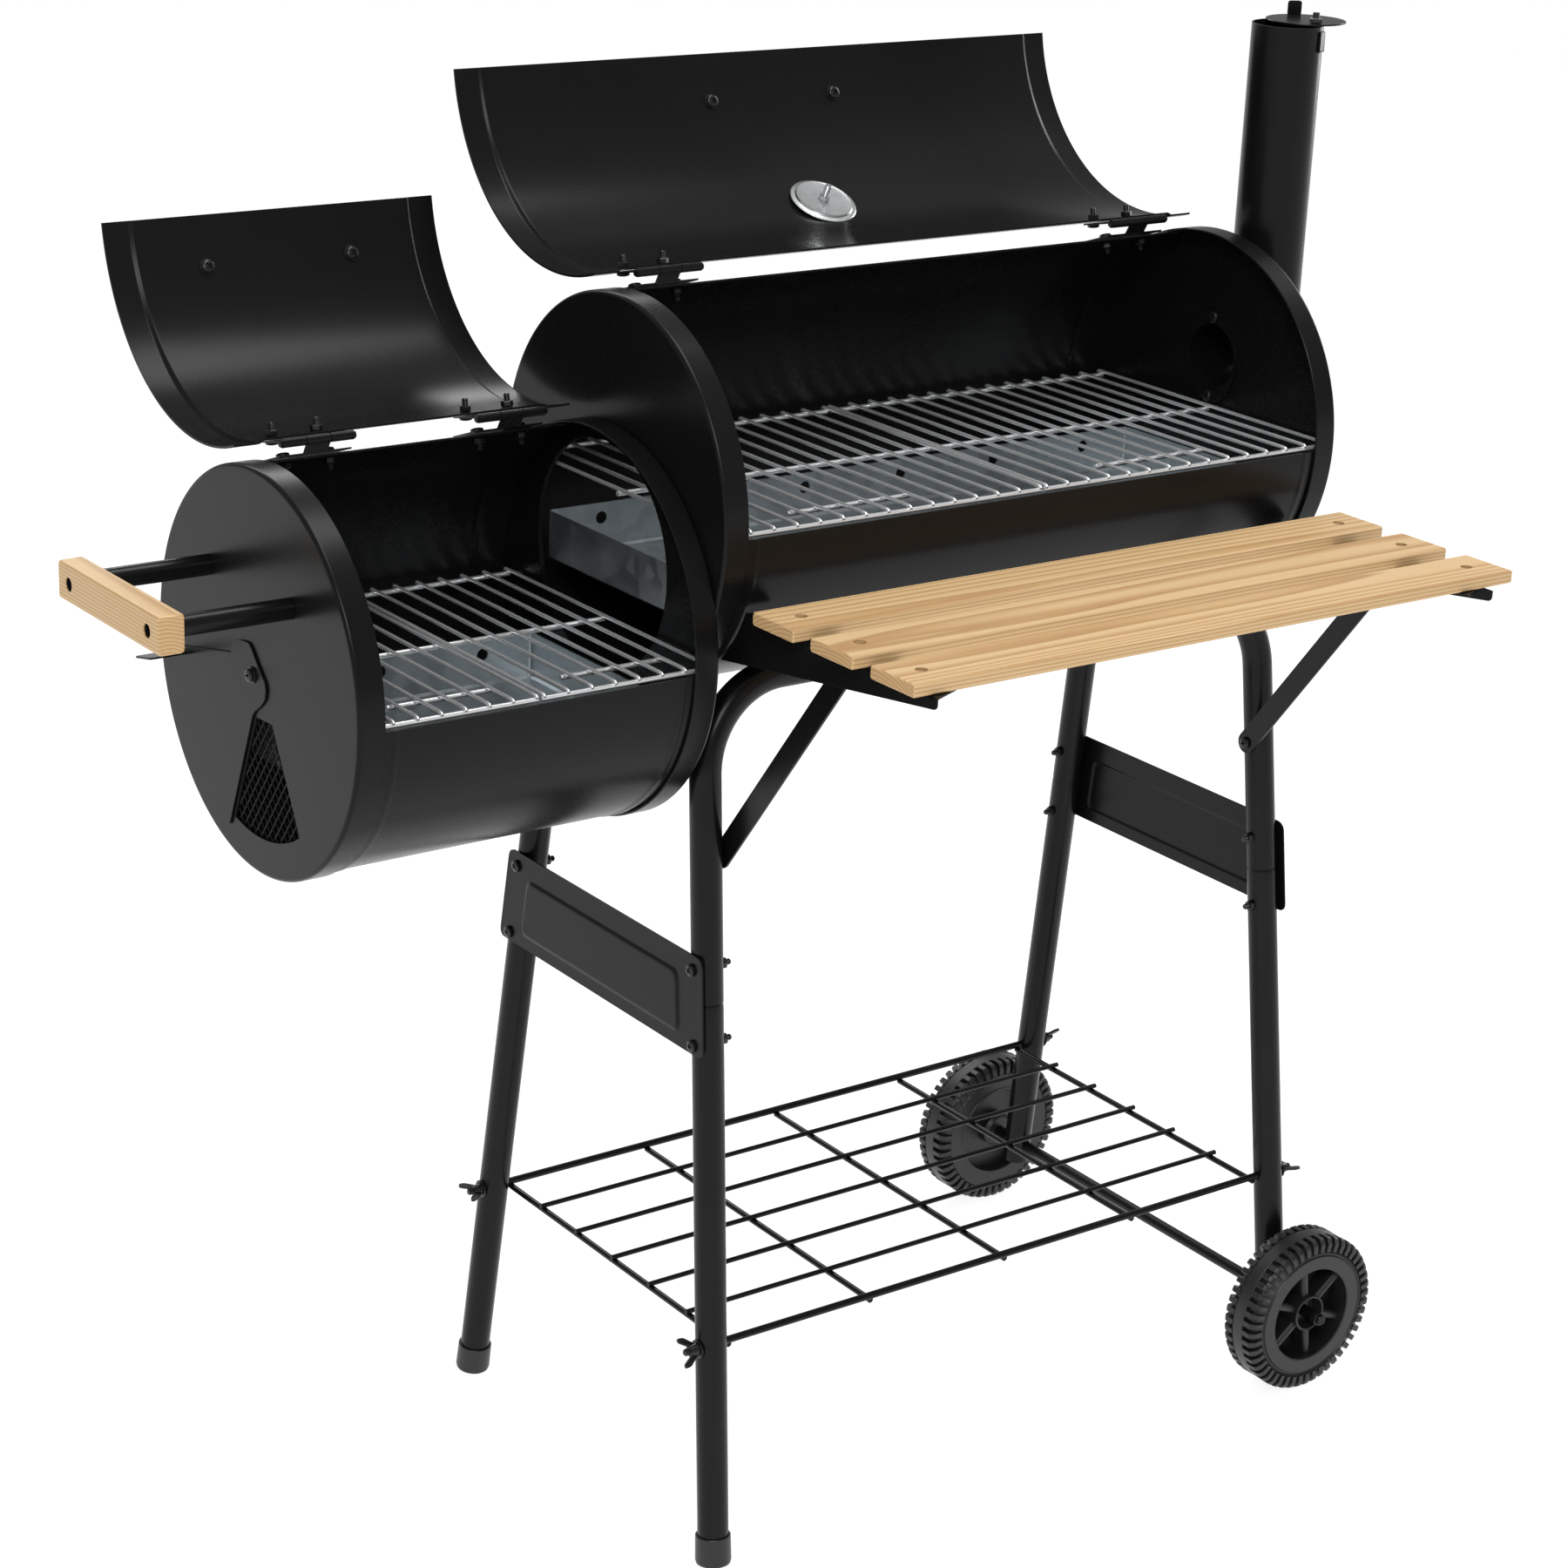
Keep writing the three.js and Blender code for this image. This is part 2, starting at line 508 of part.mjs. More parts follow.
function lowerLegs() {
  [['front', -1], ['rear', 1]].forEach(([name, side]) => {
    const left = tube(onLeg(0, side, 5), onLeg(0, side, JOINT_Z), LEG_R, LEG_WALL);
    add(`${name}_left_leg`, left, paint);
    const { y } = onLeg(1, side, WHEEL.r);
    const bore = rod(V(AXLE.x, y - 30, WHEEL.r), V(AXLE.x, y + 30, WHEEL.r), AXLE.r + GAP, 14);
    const right = tube(onLeg(1, side, WHEEL.r - 16), onLeg(1, side, JOINT_Z), LEG_R, LEG_WALL);
    add(`${name}_right_leg`, cut(right, bore), paint);

    const cup = cut(
      rod(onLeg(0, side, -4), onLeg(0, side, 26), LEG_R + 2, 20),
      rod(onLeg(0, side, 4), onLeg(0, side, 30), LEG_R + GAP, 20),
      block(-60, 60, -300, 300, -40, 0),
    );
    add(`${name}_left_foot`, cup, plastic);
  });
}

// A straight-sided shape whose four corners are rounded.
function roundedOutline(points, corner) {
  const shape = new THREE.Shape();
  points.forEach(([u, v], i) => {
    const [pu, pv] = points[(i + points.length - 1) % points.length];
    const [nu, nv] = points[(i + 1) % points.length];
    const before = new THREE.Vector2(pu - u, pv - v).setLength(corner);
    const after = new THREE.Vector2(nu - u, nv - v).setLength(corner);
    shape[i ? 'lineTo' : 'moveTo'](u + before.x, v + before.y);
    shape.quadraticCurveTo(u, v, u + after.x, v + after.y);
  });
  shape.closePath();
  return shape;
}

// A plate bolted across the legs, with a field pressed outward from it.
function sidePanels() {
  const { top, bottom, past, corner, sheet, raise } = PANEL;
  const halfAt = (z) => FOOT.y - SPLAY_Y * z + LEG_R + past;
  const [low, high] = [halfAt(bottom), halfAt(top)];
  const plateShape = roundedOutline([[-low, bottom], [low, bottom], [high, top], [-high, top]], corner);
  const field = (grow) => outline([
    [-FIELD.halfBottom - grow, FIELD.bottom - grow], [FIELD.halfBottom + grow, FIELD.bottom - grow],
    [FIELD.halfTop + grow, FIELD.top + grow], [-FIELD.halfTop - grow, FIELD.top + grow],
  ]);
  const pressed = cut(
    join(alongX(plateShape, 0, sheet, 4), alongX(field(0), -raise, sheet)),
    alongX(field(-sheet), sheet - raise, sheet + 1),
  );
  const middle = (top + bottom) / 2;
  [['left', 0], ['right', 1]].forEach(([name, end]) => {
    const outward = end ? 1 : -1;
    const faced = end ? pressed.scale([-1, 1, 1]) : pressed;
    const face = onLeg(end, -1, middle).x + outward * (LEG_R + sheet + 2 * GAP);
    const tilt = THREE.MathUtils.radToDeg(Math.atan(SPLAY_X)) * -outward;
    add(`${name}_side_panel`, faced.translate([0, 0, -middle]).rotate([0, tilt, 0])
      .translate([face, 0, middle]), paint);
  });
}

// Seven long wires over five cross rods; the outer two reach the legs.
function bottomRack() {
  const side = onLeg(0, 1, RACK.z);
  const clear = LEG_R + 2 * GAP;
  const ends = [side.x + clear, onLeg(1, 1, RACK.z).x - clear];
  const parts = [];
  for (let i = 0; i < RACK.wires; i += 1) {
    const y = side.y * ((2 * i) / (RACK.wires - 1) - 1);
    const outerWire = i === 0 || i === RACK.wires - 1;
    parts.push(rodX(ends[0], ends[1], y, RACK.z, outerWire ? RACK.rod : RACK.wire, 6));
  }
  const under = RACK.z - RACK.wire - 2;
  for (let i = 0; i < RACK.cross; i += 1) {
    const x = ends[0] + 4 + (i * (ends[1] - ends[0] - 8)) / (RACK.cross - 1);
    parts.push(rod(V(x, -side.y, under), V(x, side.y, under), RACK.rod - 0.4, 6));
  }
  add('bottom_rack', join(...parts), paint);
}

// ---------- wheels ----------
// A rim with six spokes and a hub, whose outer end is level with the rim's shoulder.
function wheelSolid() {
  const half = WHEEL.width / 2;
  const { r, rim, hub } = WHEEL;
  const inner = r - rim;
  const [dish, shoulder] = [5, 3];
  const ring = turnedX([
    [inner, -half + dish], [r - shoulder, -half], [r, -half + dish], [r, half - dish],
    [r - shoulder, half], [inner, half - dish], [inner, -half + dish],
  ], 0, 0, 30);
  const boss = rodX(-half, half - dish, 0, 0, hub, 18);
  const spokes = Array.from({ length: SPOKE.count }, (_, k) => block(
    -SPOKE.half, SPOKE.half, -SPOKE.depth / 2, SPOKE.depth / 2, hub - shoulder, inner + 2,
  ).rotate([(360 * (k + 0.5)) / SPOKE.count, 0, 0]));
  const bore = rodX(-half - 1, half + 1, 0, 0, WHEEL.bore, 12);
  return cut(join(ring, boss, ...spokes), bore).rotate([0, 0, 90]);
}

function wheelsAndAxle() {
  add('axle', rod(V(AXLE.x, AXLE.front, WHEEL.r), V(AXLE.x, AXLE.rear, WHEEL.r), AXLE.r, 14), zinc);
  const wheel = wheelSolid();
  add('front_wheel', wheel.translate([AXLE.x, WHEEL.front, WHEEL.r]), plastic);
  add('rear_wheel', wheel.rotate([0, 0, 180]).translate([AXLE.x, WHEEL.rear, WHEEL.r]), plastic);
}

// ---------- front shelf ----------
function planks() {
  const { inset, r, deep } = PLANK_HOLE;
  const ends = [SHELF.x0 + inset, SHELF.x1 - inset];
  ['rear', 'middle', 'front'].forEach((name, i) => {
    const back = SHELF.back - i * SHELF.pitch;
    const front = back - SHELF.plank;
    const board = block(SHELF.x0, SHELF.x1, front, back, SHELF.z - SHELF.thick, SHELF.z);
    const middle = (front + back) / 2;
    const holes = ends.map((x) => rod(V(x, middle, SHELF.z - deep), V(x, middle, SHELF.z + 1), r, 14));
    add(`${name}_plank`, cut(board, ...holes), pine);
  });
}

// A flat bar with round ends, laid from a bolt on the leg up to the bracket's web.
function strutShape() {
  const { low, high, r } = STRUT;
  const lean = Math.atan2(high[1] - low[1], high[0] - low[0]);
  const shape = new THREE.Shape();
  shape.absarc(...low, r, lean + Math.PI / 2, lean + (3 * Math.PI) / 2, false);
  shape.absarc(...high, r, lean - Math.PI / 2, lean + Math.PI / 2, false);
  shape.closePath();
  return shape;
}

// A tapered web with a flange along its top, which the planks lie on.
function shelfBrackets() {
  const { tip, tipDepth, corner, rootDepth, flange: wide } = BRACKET;
  const top = SHELF.z - SHELF.thick - GAP;
  const touch = (z) => -Math.sqrt((CAP_R + GAP) ** 2 - (MAIN.z - z) ** 2);
  const foot = top - rootDepth;
  const halfway = (top + foot) / 2;
  const webShape = outline([
    [touch(top), top], [tip, top], [tip, top - tipDepth + corner], [tip + corner, top - tipDepth],
    [touch(foot), foot], [touch(halfway), halfway],
  ]);
  [['left', 0], ['right', 1]].forEach(([name, end]) => {
    const inner = end ? -1 : 1;
    const face = onLeg(end, -1, STRUT.low[1]).x + inner * (LEG_R + GAP);
    const between = (from, to) => [face + inner * from, face + inner * to].sort((a, b) => a - b);
    const web = alongX(webShape, ...between(-SHEET, 0), 4);
    const flange = block(...between(-SHEET, wide), tip, touch(top) - 2, top - SHEET, top);
    add(`${name}_shelf_bracket`, join(web, flange), paint);
    const strut = alongX(strutShape(), ...between(GAP, GAP + STRUT.thick), 5);
    add(`${name}_shelf_strut`, strut, paint);
  });
}

// ---------- assembly ----------
[MAIN, FIRE].forEach((drum) => {
  barrel(drum);
  hinges(drum);
  lidHandle(drum);
});
caps();
lid(MAIN, thermometer());
lid(FIRE);
handle('side', SIDE_HANDLE.standoff, (solid) => solid
  .translate([FIRE.x0, SIDE_HANDLE.y, FIRE.z + SIDE_HANDLE.z]));
vent();
grates();
[MAIN, FIRE].forEach(pan);
chimney();
chimneyCap();
frames();
lowerLegs();
sidePanels();
bottomRack();
wheelsAndAxle();
planks();
shelfBrackets();

const group = new THREE.Group();
group.add(smoker);

export default group;
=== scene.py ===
"""The looks of the offset smoker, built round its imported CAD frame."""

import math

import bpy
import bmesh
from mathutils import Matrix, Quaternion, Vector


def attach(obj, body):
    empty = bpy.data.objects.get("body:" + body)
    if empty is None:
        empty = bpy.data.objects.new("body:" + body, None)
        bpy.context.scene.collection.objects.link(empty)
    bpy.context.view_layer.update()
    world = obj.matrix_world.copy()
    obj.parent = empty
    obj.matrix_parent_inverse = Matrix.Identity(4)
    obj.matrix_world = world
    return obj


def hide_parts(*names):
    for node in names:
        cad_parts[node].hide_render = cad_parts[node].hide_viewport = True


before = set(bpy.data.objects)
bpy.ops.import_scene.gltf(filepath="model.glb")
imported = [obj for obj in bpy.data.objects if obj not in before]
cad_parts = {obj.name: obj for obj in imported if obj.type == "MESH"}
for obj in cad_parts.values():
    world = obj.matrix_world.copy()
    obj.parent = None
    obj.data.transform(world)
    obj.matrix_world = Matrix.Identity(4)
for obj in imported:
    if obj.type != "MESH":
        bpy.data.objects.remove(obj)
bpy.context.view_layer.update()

# ---- Driving sizes, in millimetres from the main drum's left end, its axis and the ground.
SHIFT = Vector((-150.0, 33.9, 0.0))    # to the frame's own origin
MM = 0.001
MAIN = {"x0": 0.0, "x1": 600.0, "z": 823.0, "name": "main", "lid": "main_lid",
        "lid_x": (4.8, 592.6), "pan_x": (6.0, 594.0)}
FIRE = {"x0": -297.0, "x1": -0.3, "z": 727.0, "name": "firebox", "lid": "firebox_lid",
        "lid_x": (-293.0, -14.6), "pan_x": (-277.0, -6.3)}
SHEET = 1.5
BARREL_R = 147.5
CAP_R = 150.0
CAP_BAND = 21.0
OPENING = (77.0, 181.0)
LID_R = 156.0
LID_STRIP = 22.0
LID_JOGGLE = 2.0
LOW_R = LID_R - LID_JOGGLE              # the lid's outer face between its side strips
LID_ANGLES = (-109.5, -9.5)
PIN = (31.0, 156.0)
LID_CENTRE = (56.0, 147.5)
HINGE_IN = 68.0                         # from a drum's end to the middle of its hinge
HANDLE_ANGLE, DIAL_ANGLE = -24, -64     # where the handle and the thermometer sit on the lid's arc
DIAL_X = 300
HANDLE_HALF, BOLT_HALF = 78.0, 61       # a handle's half length, and half its bolts' spacing
PASSAGE = {"r": 88.5, "y": 8, "z": 773.4}
FLUE_Z = 866.0
PIPE_X = 652.0
PIPE_R = 29.5
LEG_R = 12.3
LEG_LEAN = (0.031, 0.1207)
FRAME_TOP, FRAME_BEND, JOINT_Z = 697, 71, 455
RACK_Z = 181.0
GRATE = {"front": -141.5, "back": 136.0, "r": 1.6}
SHELF = {"top": 773.0, "thick": 10.0, "width": 50.0, "pitch": 70, "back": -166, "x": (15.0, 596.0)}
WHEEL = {"r": 70.5, "x": 596.4, "front": -207.0, "rear": 222.0, "half": 19.0}

SIDES = (("front", -1), ("rear", 1))
ENDS = (("left", 0), ("right", 1))


def leg(end, side, z):
    """A point on a leg's axis."""
    x = 597.2 - LEG_LEAN[0] * z if end else 0.7 + LEG_LEAN[0] * z
    return Vector((x, side * (182.8 - LEG_LEAN[1] * z), z))


def lid_point(drum, x, radius, degrees):
    a = math.radians(degrees)
    return Vector((x, PIN[0] + LID_CENTRE[0] + radius * math.cos(a),
                   drum["z"] + PIN[1] + LID_CENTRE[1] + radius * math.sin(a)))


# ---- Meshes as (points, faces), in millimetres
def joined(*meshes):
    points, faces = [], []
    for more_points, more_faces in meshes:
        start = len(points)
        points += [Vector(p) for p in more_points]
        faces += [tuple(i + start for i in face) for face in more_faces]
    return points, faces


def moved(mesh, matrix):
    return [matrix @ Vector(p) for p in mesh[0]], mesh[1]


def spun(degrees, axis="Z"):
    return Matrix.Rotation(math.radians(degrees), 4, axis)


def aimed(mesh, at, direction, roll=0.0):
    """A mesh built up from the origin along +Z, stood at a point and facing a direction."""
    turn = Vector((0, 0, 1)).rotation_difference(Vector(direction).normalized())
    return moved(mesh, Matrix.Translation(at) @ turn.to_matrix().to_4x4() @ spun(roll))


def rings(stations, sides):
    """Quads between stations of equal point counts."""
    return [(i * sides + k, i * sides + (k + 1) % sides, (i + 1) * sides + (k + 1) % sides, (i + 1) * sides + k)
            for i in range(stations - 1) for k in range(sides)]


def capped(stations, sides):
    """The same, closed at both ends."""
    last = (stations - 1) * sides
    return rings(stations, sides) + [tuple(range(sides)), tuple(range(last, last + sides))]


def sweep_points(path, radius, sides):
    path = [Vector(p) for p in path]
    last = len(path) - 1
    radii = radius if isinstance(radius, list) else [radius] * len(path)
    tangents = [(path[min(i + 1, last)] - path[max(i - 1, 0)]).normalized() for i in range(len(path))]
    up = Vector((0, 0, 1)) if abs(tangents[0].z) < 0.9 else Vector((1, 0, 0))
    normal = tangents[0].cross(up).normalized()
    points = []
    for i, (point, tangent) in enumerate(zip(path, tangents)):
        if i:
            normal = tangents[i - 1].rotation_difference(tangent) @ normal
        side = tangent.cross(normal)
        for k in range(sides):
            a = 2 * math.pi * k / sides
            points.append(point + radii[i] * (math.cos(a) * normal + math.sin(a) * side))
    return points


def bar(path, radius, sides=20):
    """A solid round bar along a path."""
    return sweep_points(path, radius, sides), capped(len(path), sides)


def pipe(path, outer, inner, sides=40):
    """An open-ended tube along a path."""
    points = sweep_points(path, outer, sides) + sweep_points(path, inner, sides)
    count = len(path)
    half = count * sides
    faces = rings(count, sides) + [tuple(i + half for i in f) for f in rings(count, sides)]
    for first in (0, (count - 1) * sides):
        for k in range(sides):
            a, b = first + k, first + (k + 1) % sides
            faces.append((a, b, b + half, a + half))
    return points, faces


def bent(corners, radius, steps=14):
    """Corner points with each inner corner rounded, as a path."""
    corners = [Vector(c) for c in corners]
    path = [corners[0]]
    for before, corner, after in zip(corners, corners[1:], corners[2:]):
        into, out = (corner - before).normalized(), (after - corner).normalized()
        angle = into.angle(out)
        axis = into.cross(out).normalized()
        start = corner - into * radius * math.tan(angle / 2)
        centre = start + axis.cross(into) * radius
        for k in range(steps + 1):
            path.append(centre + Quaternion(axis, angle * k / steps) @ (start - centre))
    return path + [corners[-1]]


def turned(profile, steps=64):
    """A profile of (radius, z) turned about Z. Its ends are on the axis, or it closes on itself."""
    count = len(profile)
    points = [(r * math.cos(2 * math.pi * k / steps), r * math.sin(2 * math.pi * k / steps), z)
              for k in range(steps) for r, z in profile]
    closed = profile[0][0] > 0
    spans = count if closed else count - 1
    faces = [(k * count + i, k * count + (i + 1) % count,
              (k + 1) % steps * count + (i + 1) % count, (k + 1) % steps * count + i)
             for k in range(steps) for i in range(spans)]
    return points, faces


def x_axis(x, y, z):
    """Turns +Z to +X and moves to a point."""
    return Matrix.Translation((x, y, z)) @ Matrix(((0, 0, 1, 0), (0, 1, 0, 0), (-1, 0, 0, 0), (0, 0, 0, 1)))


def turned_x(profile, y, z, steps=128):
    """A profile of (radius, x) turned about a line along X."""
    return moved(turned(profile, steps), x_axis(0, y, z))


def plug(radius, half, steps=24):
    """A cylinder about Z, centred on the origin, that cuts a hole."""
    return turned([(0, -half), (radius, -half), (radius, half), (0, half)], steps)


def arc_sheet(profile, y, z, start, end, steps=96):
    """A closed profile of (radius, x) turned part of the way about a line along X."""
    count = len(profile)
    points = []
    for k in range(steps + 1):
        a = math.radians(start + (end - start) * k / steps)
        points += [(x, y + r * math.cos(a), z + r * math.sin(a)) for r, x in profile]
    return points, capped(steps + 1, count)


def prism(outline, low, high, axis="Z"):
    """An outline pushed along an axis. It is drawn in (x, y), in (y, z) for X, or in (x, z) for Y."""
    place = {"Z": lambda u, v, w: (u, v, w), "X": lambda u, v, w: (w, u, v), "Y": lambda u, v, w: (u, w, v)}[axis]
    return [place(u, v, w) for w in (low, high) for u, v in outline], capped(2, len(outline))


def rect(x0, x1, y0, y1):
    return [(x0, y0), (x1, y0), (x1, y1), (x0, y1)]


def box(x0, x1, y0, y1, z0, z1):
    return prism(rect(x0, x1, y0, y1), z0, z1)


def arc(radius, start, end, steps, centre=(0.0, 0.0)):
    return [(centre[0] + radius * math.cos(math.radians(start + (end - start) * k / steps)),
             centre[1] + radius * math.sin(math.radians(start + (end - start) * k / steps)))
            for k in range(steps + 1)]


def rounded(corners, radius, steps=6):
    """An outline with its corners rounded."""
    outline = []
    count = len(corners)
    for i, corner in enumerate(corners):
        here = Vector(corner)
        before = (Vector(corners[i - 1]) - here).normalized() * radius
        after = (Vector(corners[(i + 1) % count]) - here).normalized() * radius
        for k in range(steps + 1):
            t = k / steps
            outline.append(tuple(here + before * (1 - t) ** 2 + after * t ** 2))
    return outline


# ---- Blender pieces
def to_data(mesh, name):
    data = bpy.data.meshes.new(name)
    data.from_pydata([(Vector(p) + SHIFT) * MM for p in mesh[0]], [], mesh[1])
    edit = bmesh.new()
    edit.from_mesh(data)
    bmesh.ops.remove_doubles(edit, verts=edit.verts, dist=1e-6)
    bmesh.ops.dissolve_degenerate(edit, edges=edit.edges, dist=1e-7)
    bmesh.ops.recalc_face_normals(edit, faces=edit.faces)
    edit.to_mesh(data)
    edit.free()
    return data


def placed(name, data):
    """A new object, linked into the scene."""
    obj = bpy.data.objects.new(name, data)
    bpy.context.scene.collection.objects.link(obj)
    return obj


def modified(obj, kind, **values):
    """Applies one modifier to the object's mesh."""
    modifier = obj.modifiers.new(kind, kind)
    for name, value in values.items():
        setattr(modifier, name, value)
    bpy.context.view_layer.update()
    evaluated = obj.evaluated_get(bpy.context.evaluated_depsgraph_get())
    data = bpy.data.meshes.new_from_object(evaluated)
    obj.modifiers.clear()
    obj.data = data


def cut(obj, *tools):
    """Takes closed meshes out of an object, one after another."""
    for tool in tools:
        cutter = placed("cutter", to_data(tool, "cutter"))
        modified(obj, "BOOLEAN", operation="DIFFERENCE", solver="EXACT", object=cutter)
        bpy.data.objects.remove(cutter)


def piece(name, body, material, mesh, replaces=(), bevel=0.0, sharp=32, cuts=()):
    """One visible piece, riding on a CAD body."""
    obj = placed(name, to_data(mesh, name))
    cut(obj, *cuts)
    angle = math.radians(sharp)
    if bevel:
        modified(obj, "BEVEL", width=bevel * MM, segments=2, limit_method="ANGLE", angle_limit=angle,
                 use_clamp_overlap=True)
    obj.data.materials.clear()
    obj.data.materials.append(material)
    obj.data.shade_smooth()
    obj.data.set_sharp_from_angle(angle=angle)
    modified(obj, "WEIGHTED_NORMAL", keep_sharp=True)
    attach(obj, body)
    if replaces:
        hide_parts(*replaces)


# ---- Materials
class Nodes:
    """A material's node tree, written as short calls."""

    def __init__(self, name, slot):
        self.material = bpy.data.materials.new(name)
        self.material["slot"] = slot
        self.material.use_nodes = True
        self.tree = self.material.node_tree
        self.shader = self.tree.nodes["Principled BSDF"]
        self.coordinates = self.new("TexCoord").outputs
        self.place = self.coordinates["Object"]

    def put(self, socket, value):
        """Sets a socket to a number, a vector or a colour, or links it to another."""
        if isinstance(value, (int, float)):
            socket.default_value = value
        elif isinstance(value, tuple):
            socket.default_value = (*value, 1.0)[:len(socket.default_value)]
        else:
            self.tree.links.new(value, socket)

    def fill(self, node, values):
        """Sets sockets by name, with an underscore for each space."""
        for name, value in values.items():
            self.put(node.inputs[name.replace("_", " ")], value)

    def new(self, kind, **values):
        node = self.tree.nodes.new("ShaderNode" + kind)
        self.fill(node, values)
        return node

    def set(self, **values):
        self.fill(self.shader, values)
        return self.material

    def noise(self, scale, detail, roughness=0.55, stretch=(1.0, 1.0, 1.0)):
        place = self.new("Mapping", Vector=self.place, Scale=stretch).outputs["Vector"]
        return self.new("TexNoise", Vector=place, Scale=scale, Detail=detail, Roughness=roughness).outputs["Fac"]

    def math(self, operation, a, b=0.0):
        node = self.new("Math")
        node.operation = operation
        for socket, value in zip(node.inputs, (a, b)):
            self.put(socket, value)
        return node.outputs[0]

    def spread(self, source, low, high, start=0.0, end=1.0):
        """Maps a value from start..end to low..high."""
        node = self.new("MapRange", Value=source, From_Min=start, From_Max=end, To_Min=low, To_Max=high)
        return node.outputs["Result"]

    def ramp(self, source, *stops):
        node = self.new("ValToRGB", Fac=source)
        elements = node.color_ramp.elements
        while len(elements) < len(stops):
            elements.new(0.5)
        for element, (position, colour) in zip(elements, stops):
            element.position = position
            element.color = (*colour, 1.0)
        return node.outputs["Color"]

    def mix(self, amount, a, b):
        node = self.new("Mix")
        node.data_type = "RGBA"
        for socket, value in zip((node.inputs[i] for i in (0, 6, 7)), (amount, a, b)):
            self.put(socket, value)
        return node.outputs[2]

    def bump(self, *layers):
        """Layers of (height, strength, millimetres), each laid on the one before."""
        normal = None
        for height, strength, depth in layers:
            node = self.new("Bump", Height=height, Strength=strength, Distance=depth * MM)
            if normal:
                self.put(node.inputs["Normal"], normal)
            normal = node.outputs["Normal"]
        self.put(self.shader.inputs["Normal"], normal)


def black_paint(name="satin_black", base=0.0055, rough=0.27, shine=0.15):
    """Stove paint: near black, with a faint orange peel and slow changes of sheen."""
    n = Nodes(name, "satin_black_paint")
    cloud = n.noise(7.0, 3.0)
    grit = n.noise(900.0, 2.0)
    peel = n.noise(260.0, 2.0)
    colour = n.ramp(cloud, (0.3, (base * 0.85,) * 3), (0.7, (base * 1.2, base * 1.2, base * 1.25)))
    roughness = n.math("ADD", n.spread(cloud, rough - 0.03, rough + 0.04), n.spread(grit, -0.02, 0.02))
    n.bump((peel, 0.10, 0.05), (grit, 0.06, 0.02))
    return n.set(Base_Color=colour, Roughness=roughness, Specular_IOR_Level=shine)


def black_plastic():
    """Moulded plastic with a fine spark-eroded grain."""
    n = Nodes("moulded_black", "black_plastic")
    grain = n.noise(1400.0, 3.0, 0.6)
    cloud = n.noise(30.0, 2.0)
    colour = n.ramp(cloud, (0.3, (0.008, 0.008, 0.008)), (0.7, (0.013, 0.013, 0.013)))
    n.bump((grain, 0.25, 0.06))
    return n.set(Base_Color=colour, Roughness=n.spread(cloud, 0.36, 0.48), Specular_IOR_Level=0.5)


def chrome():
    """Plated wire, with small changes of colour and polish."""
    n = Nodes("chrome_wire", "chrome_wire")
    cloud = n.noise(60.0, 3.0)
    fine = n.noise(1200.0, 2.0)
    colour = n.ramp(cloud, (0.25, (0.88, 0.89, 0.90)), (0.75, (0.96, 0.96, 0.97)))
    n.bump((fine, 0.08, 0.03))
    return n.set(Base_Color=colour, Metallic=0.72, Roughness=n.spread(cloud, 0.14, 0.24))


def zinc():
    """Galvanised sheet: crystals that differ a little in tone and polish."""
    n = Nodes("zinc_plate", "zinc_plate")
    tint = (0.52, 0.56, 0.58)
    crystal = n.new("TexVoronoi", Vector=n.place, Scale=90.0)
    tone = n.math("FRACT", n.math("MULTIPLY", crystal.outputs["Color"], 7.0))
    cloud = n.noise(14.0, 4.0)
    flat = n.ramp(tone, *((i, tuple(c * k for c in tint)) for i, k in ((0.0, 0.86), (1.0, 1.12))))
    colour = n.mix(n.spread(cloud, 0.0, 0.5), flat, tuple(c * 0.8 for c in tint))
    n.bump((n.noise(1500.0, 2.0), 0.06, 0.03))
    roughness = n.math("ADD", n.spread(tone, 0.30, 0.48), n.spread(cloud, -0.05, 0.05))
    return n.set(Base_Color=colour, Metallic=0.95, Roughness=roughness)


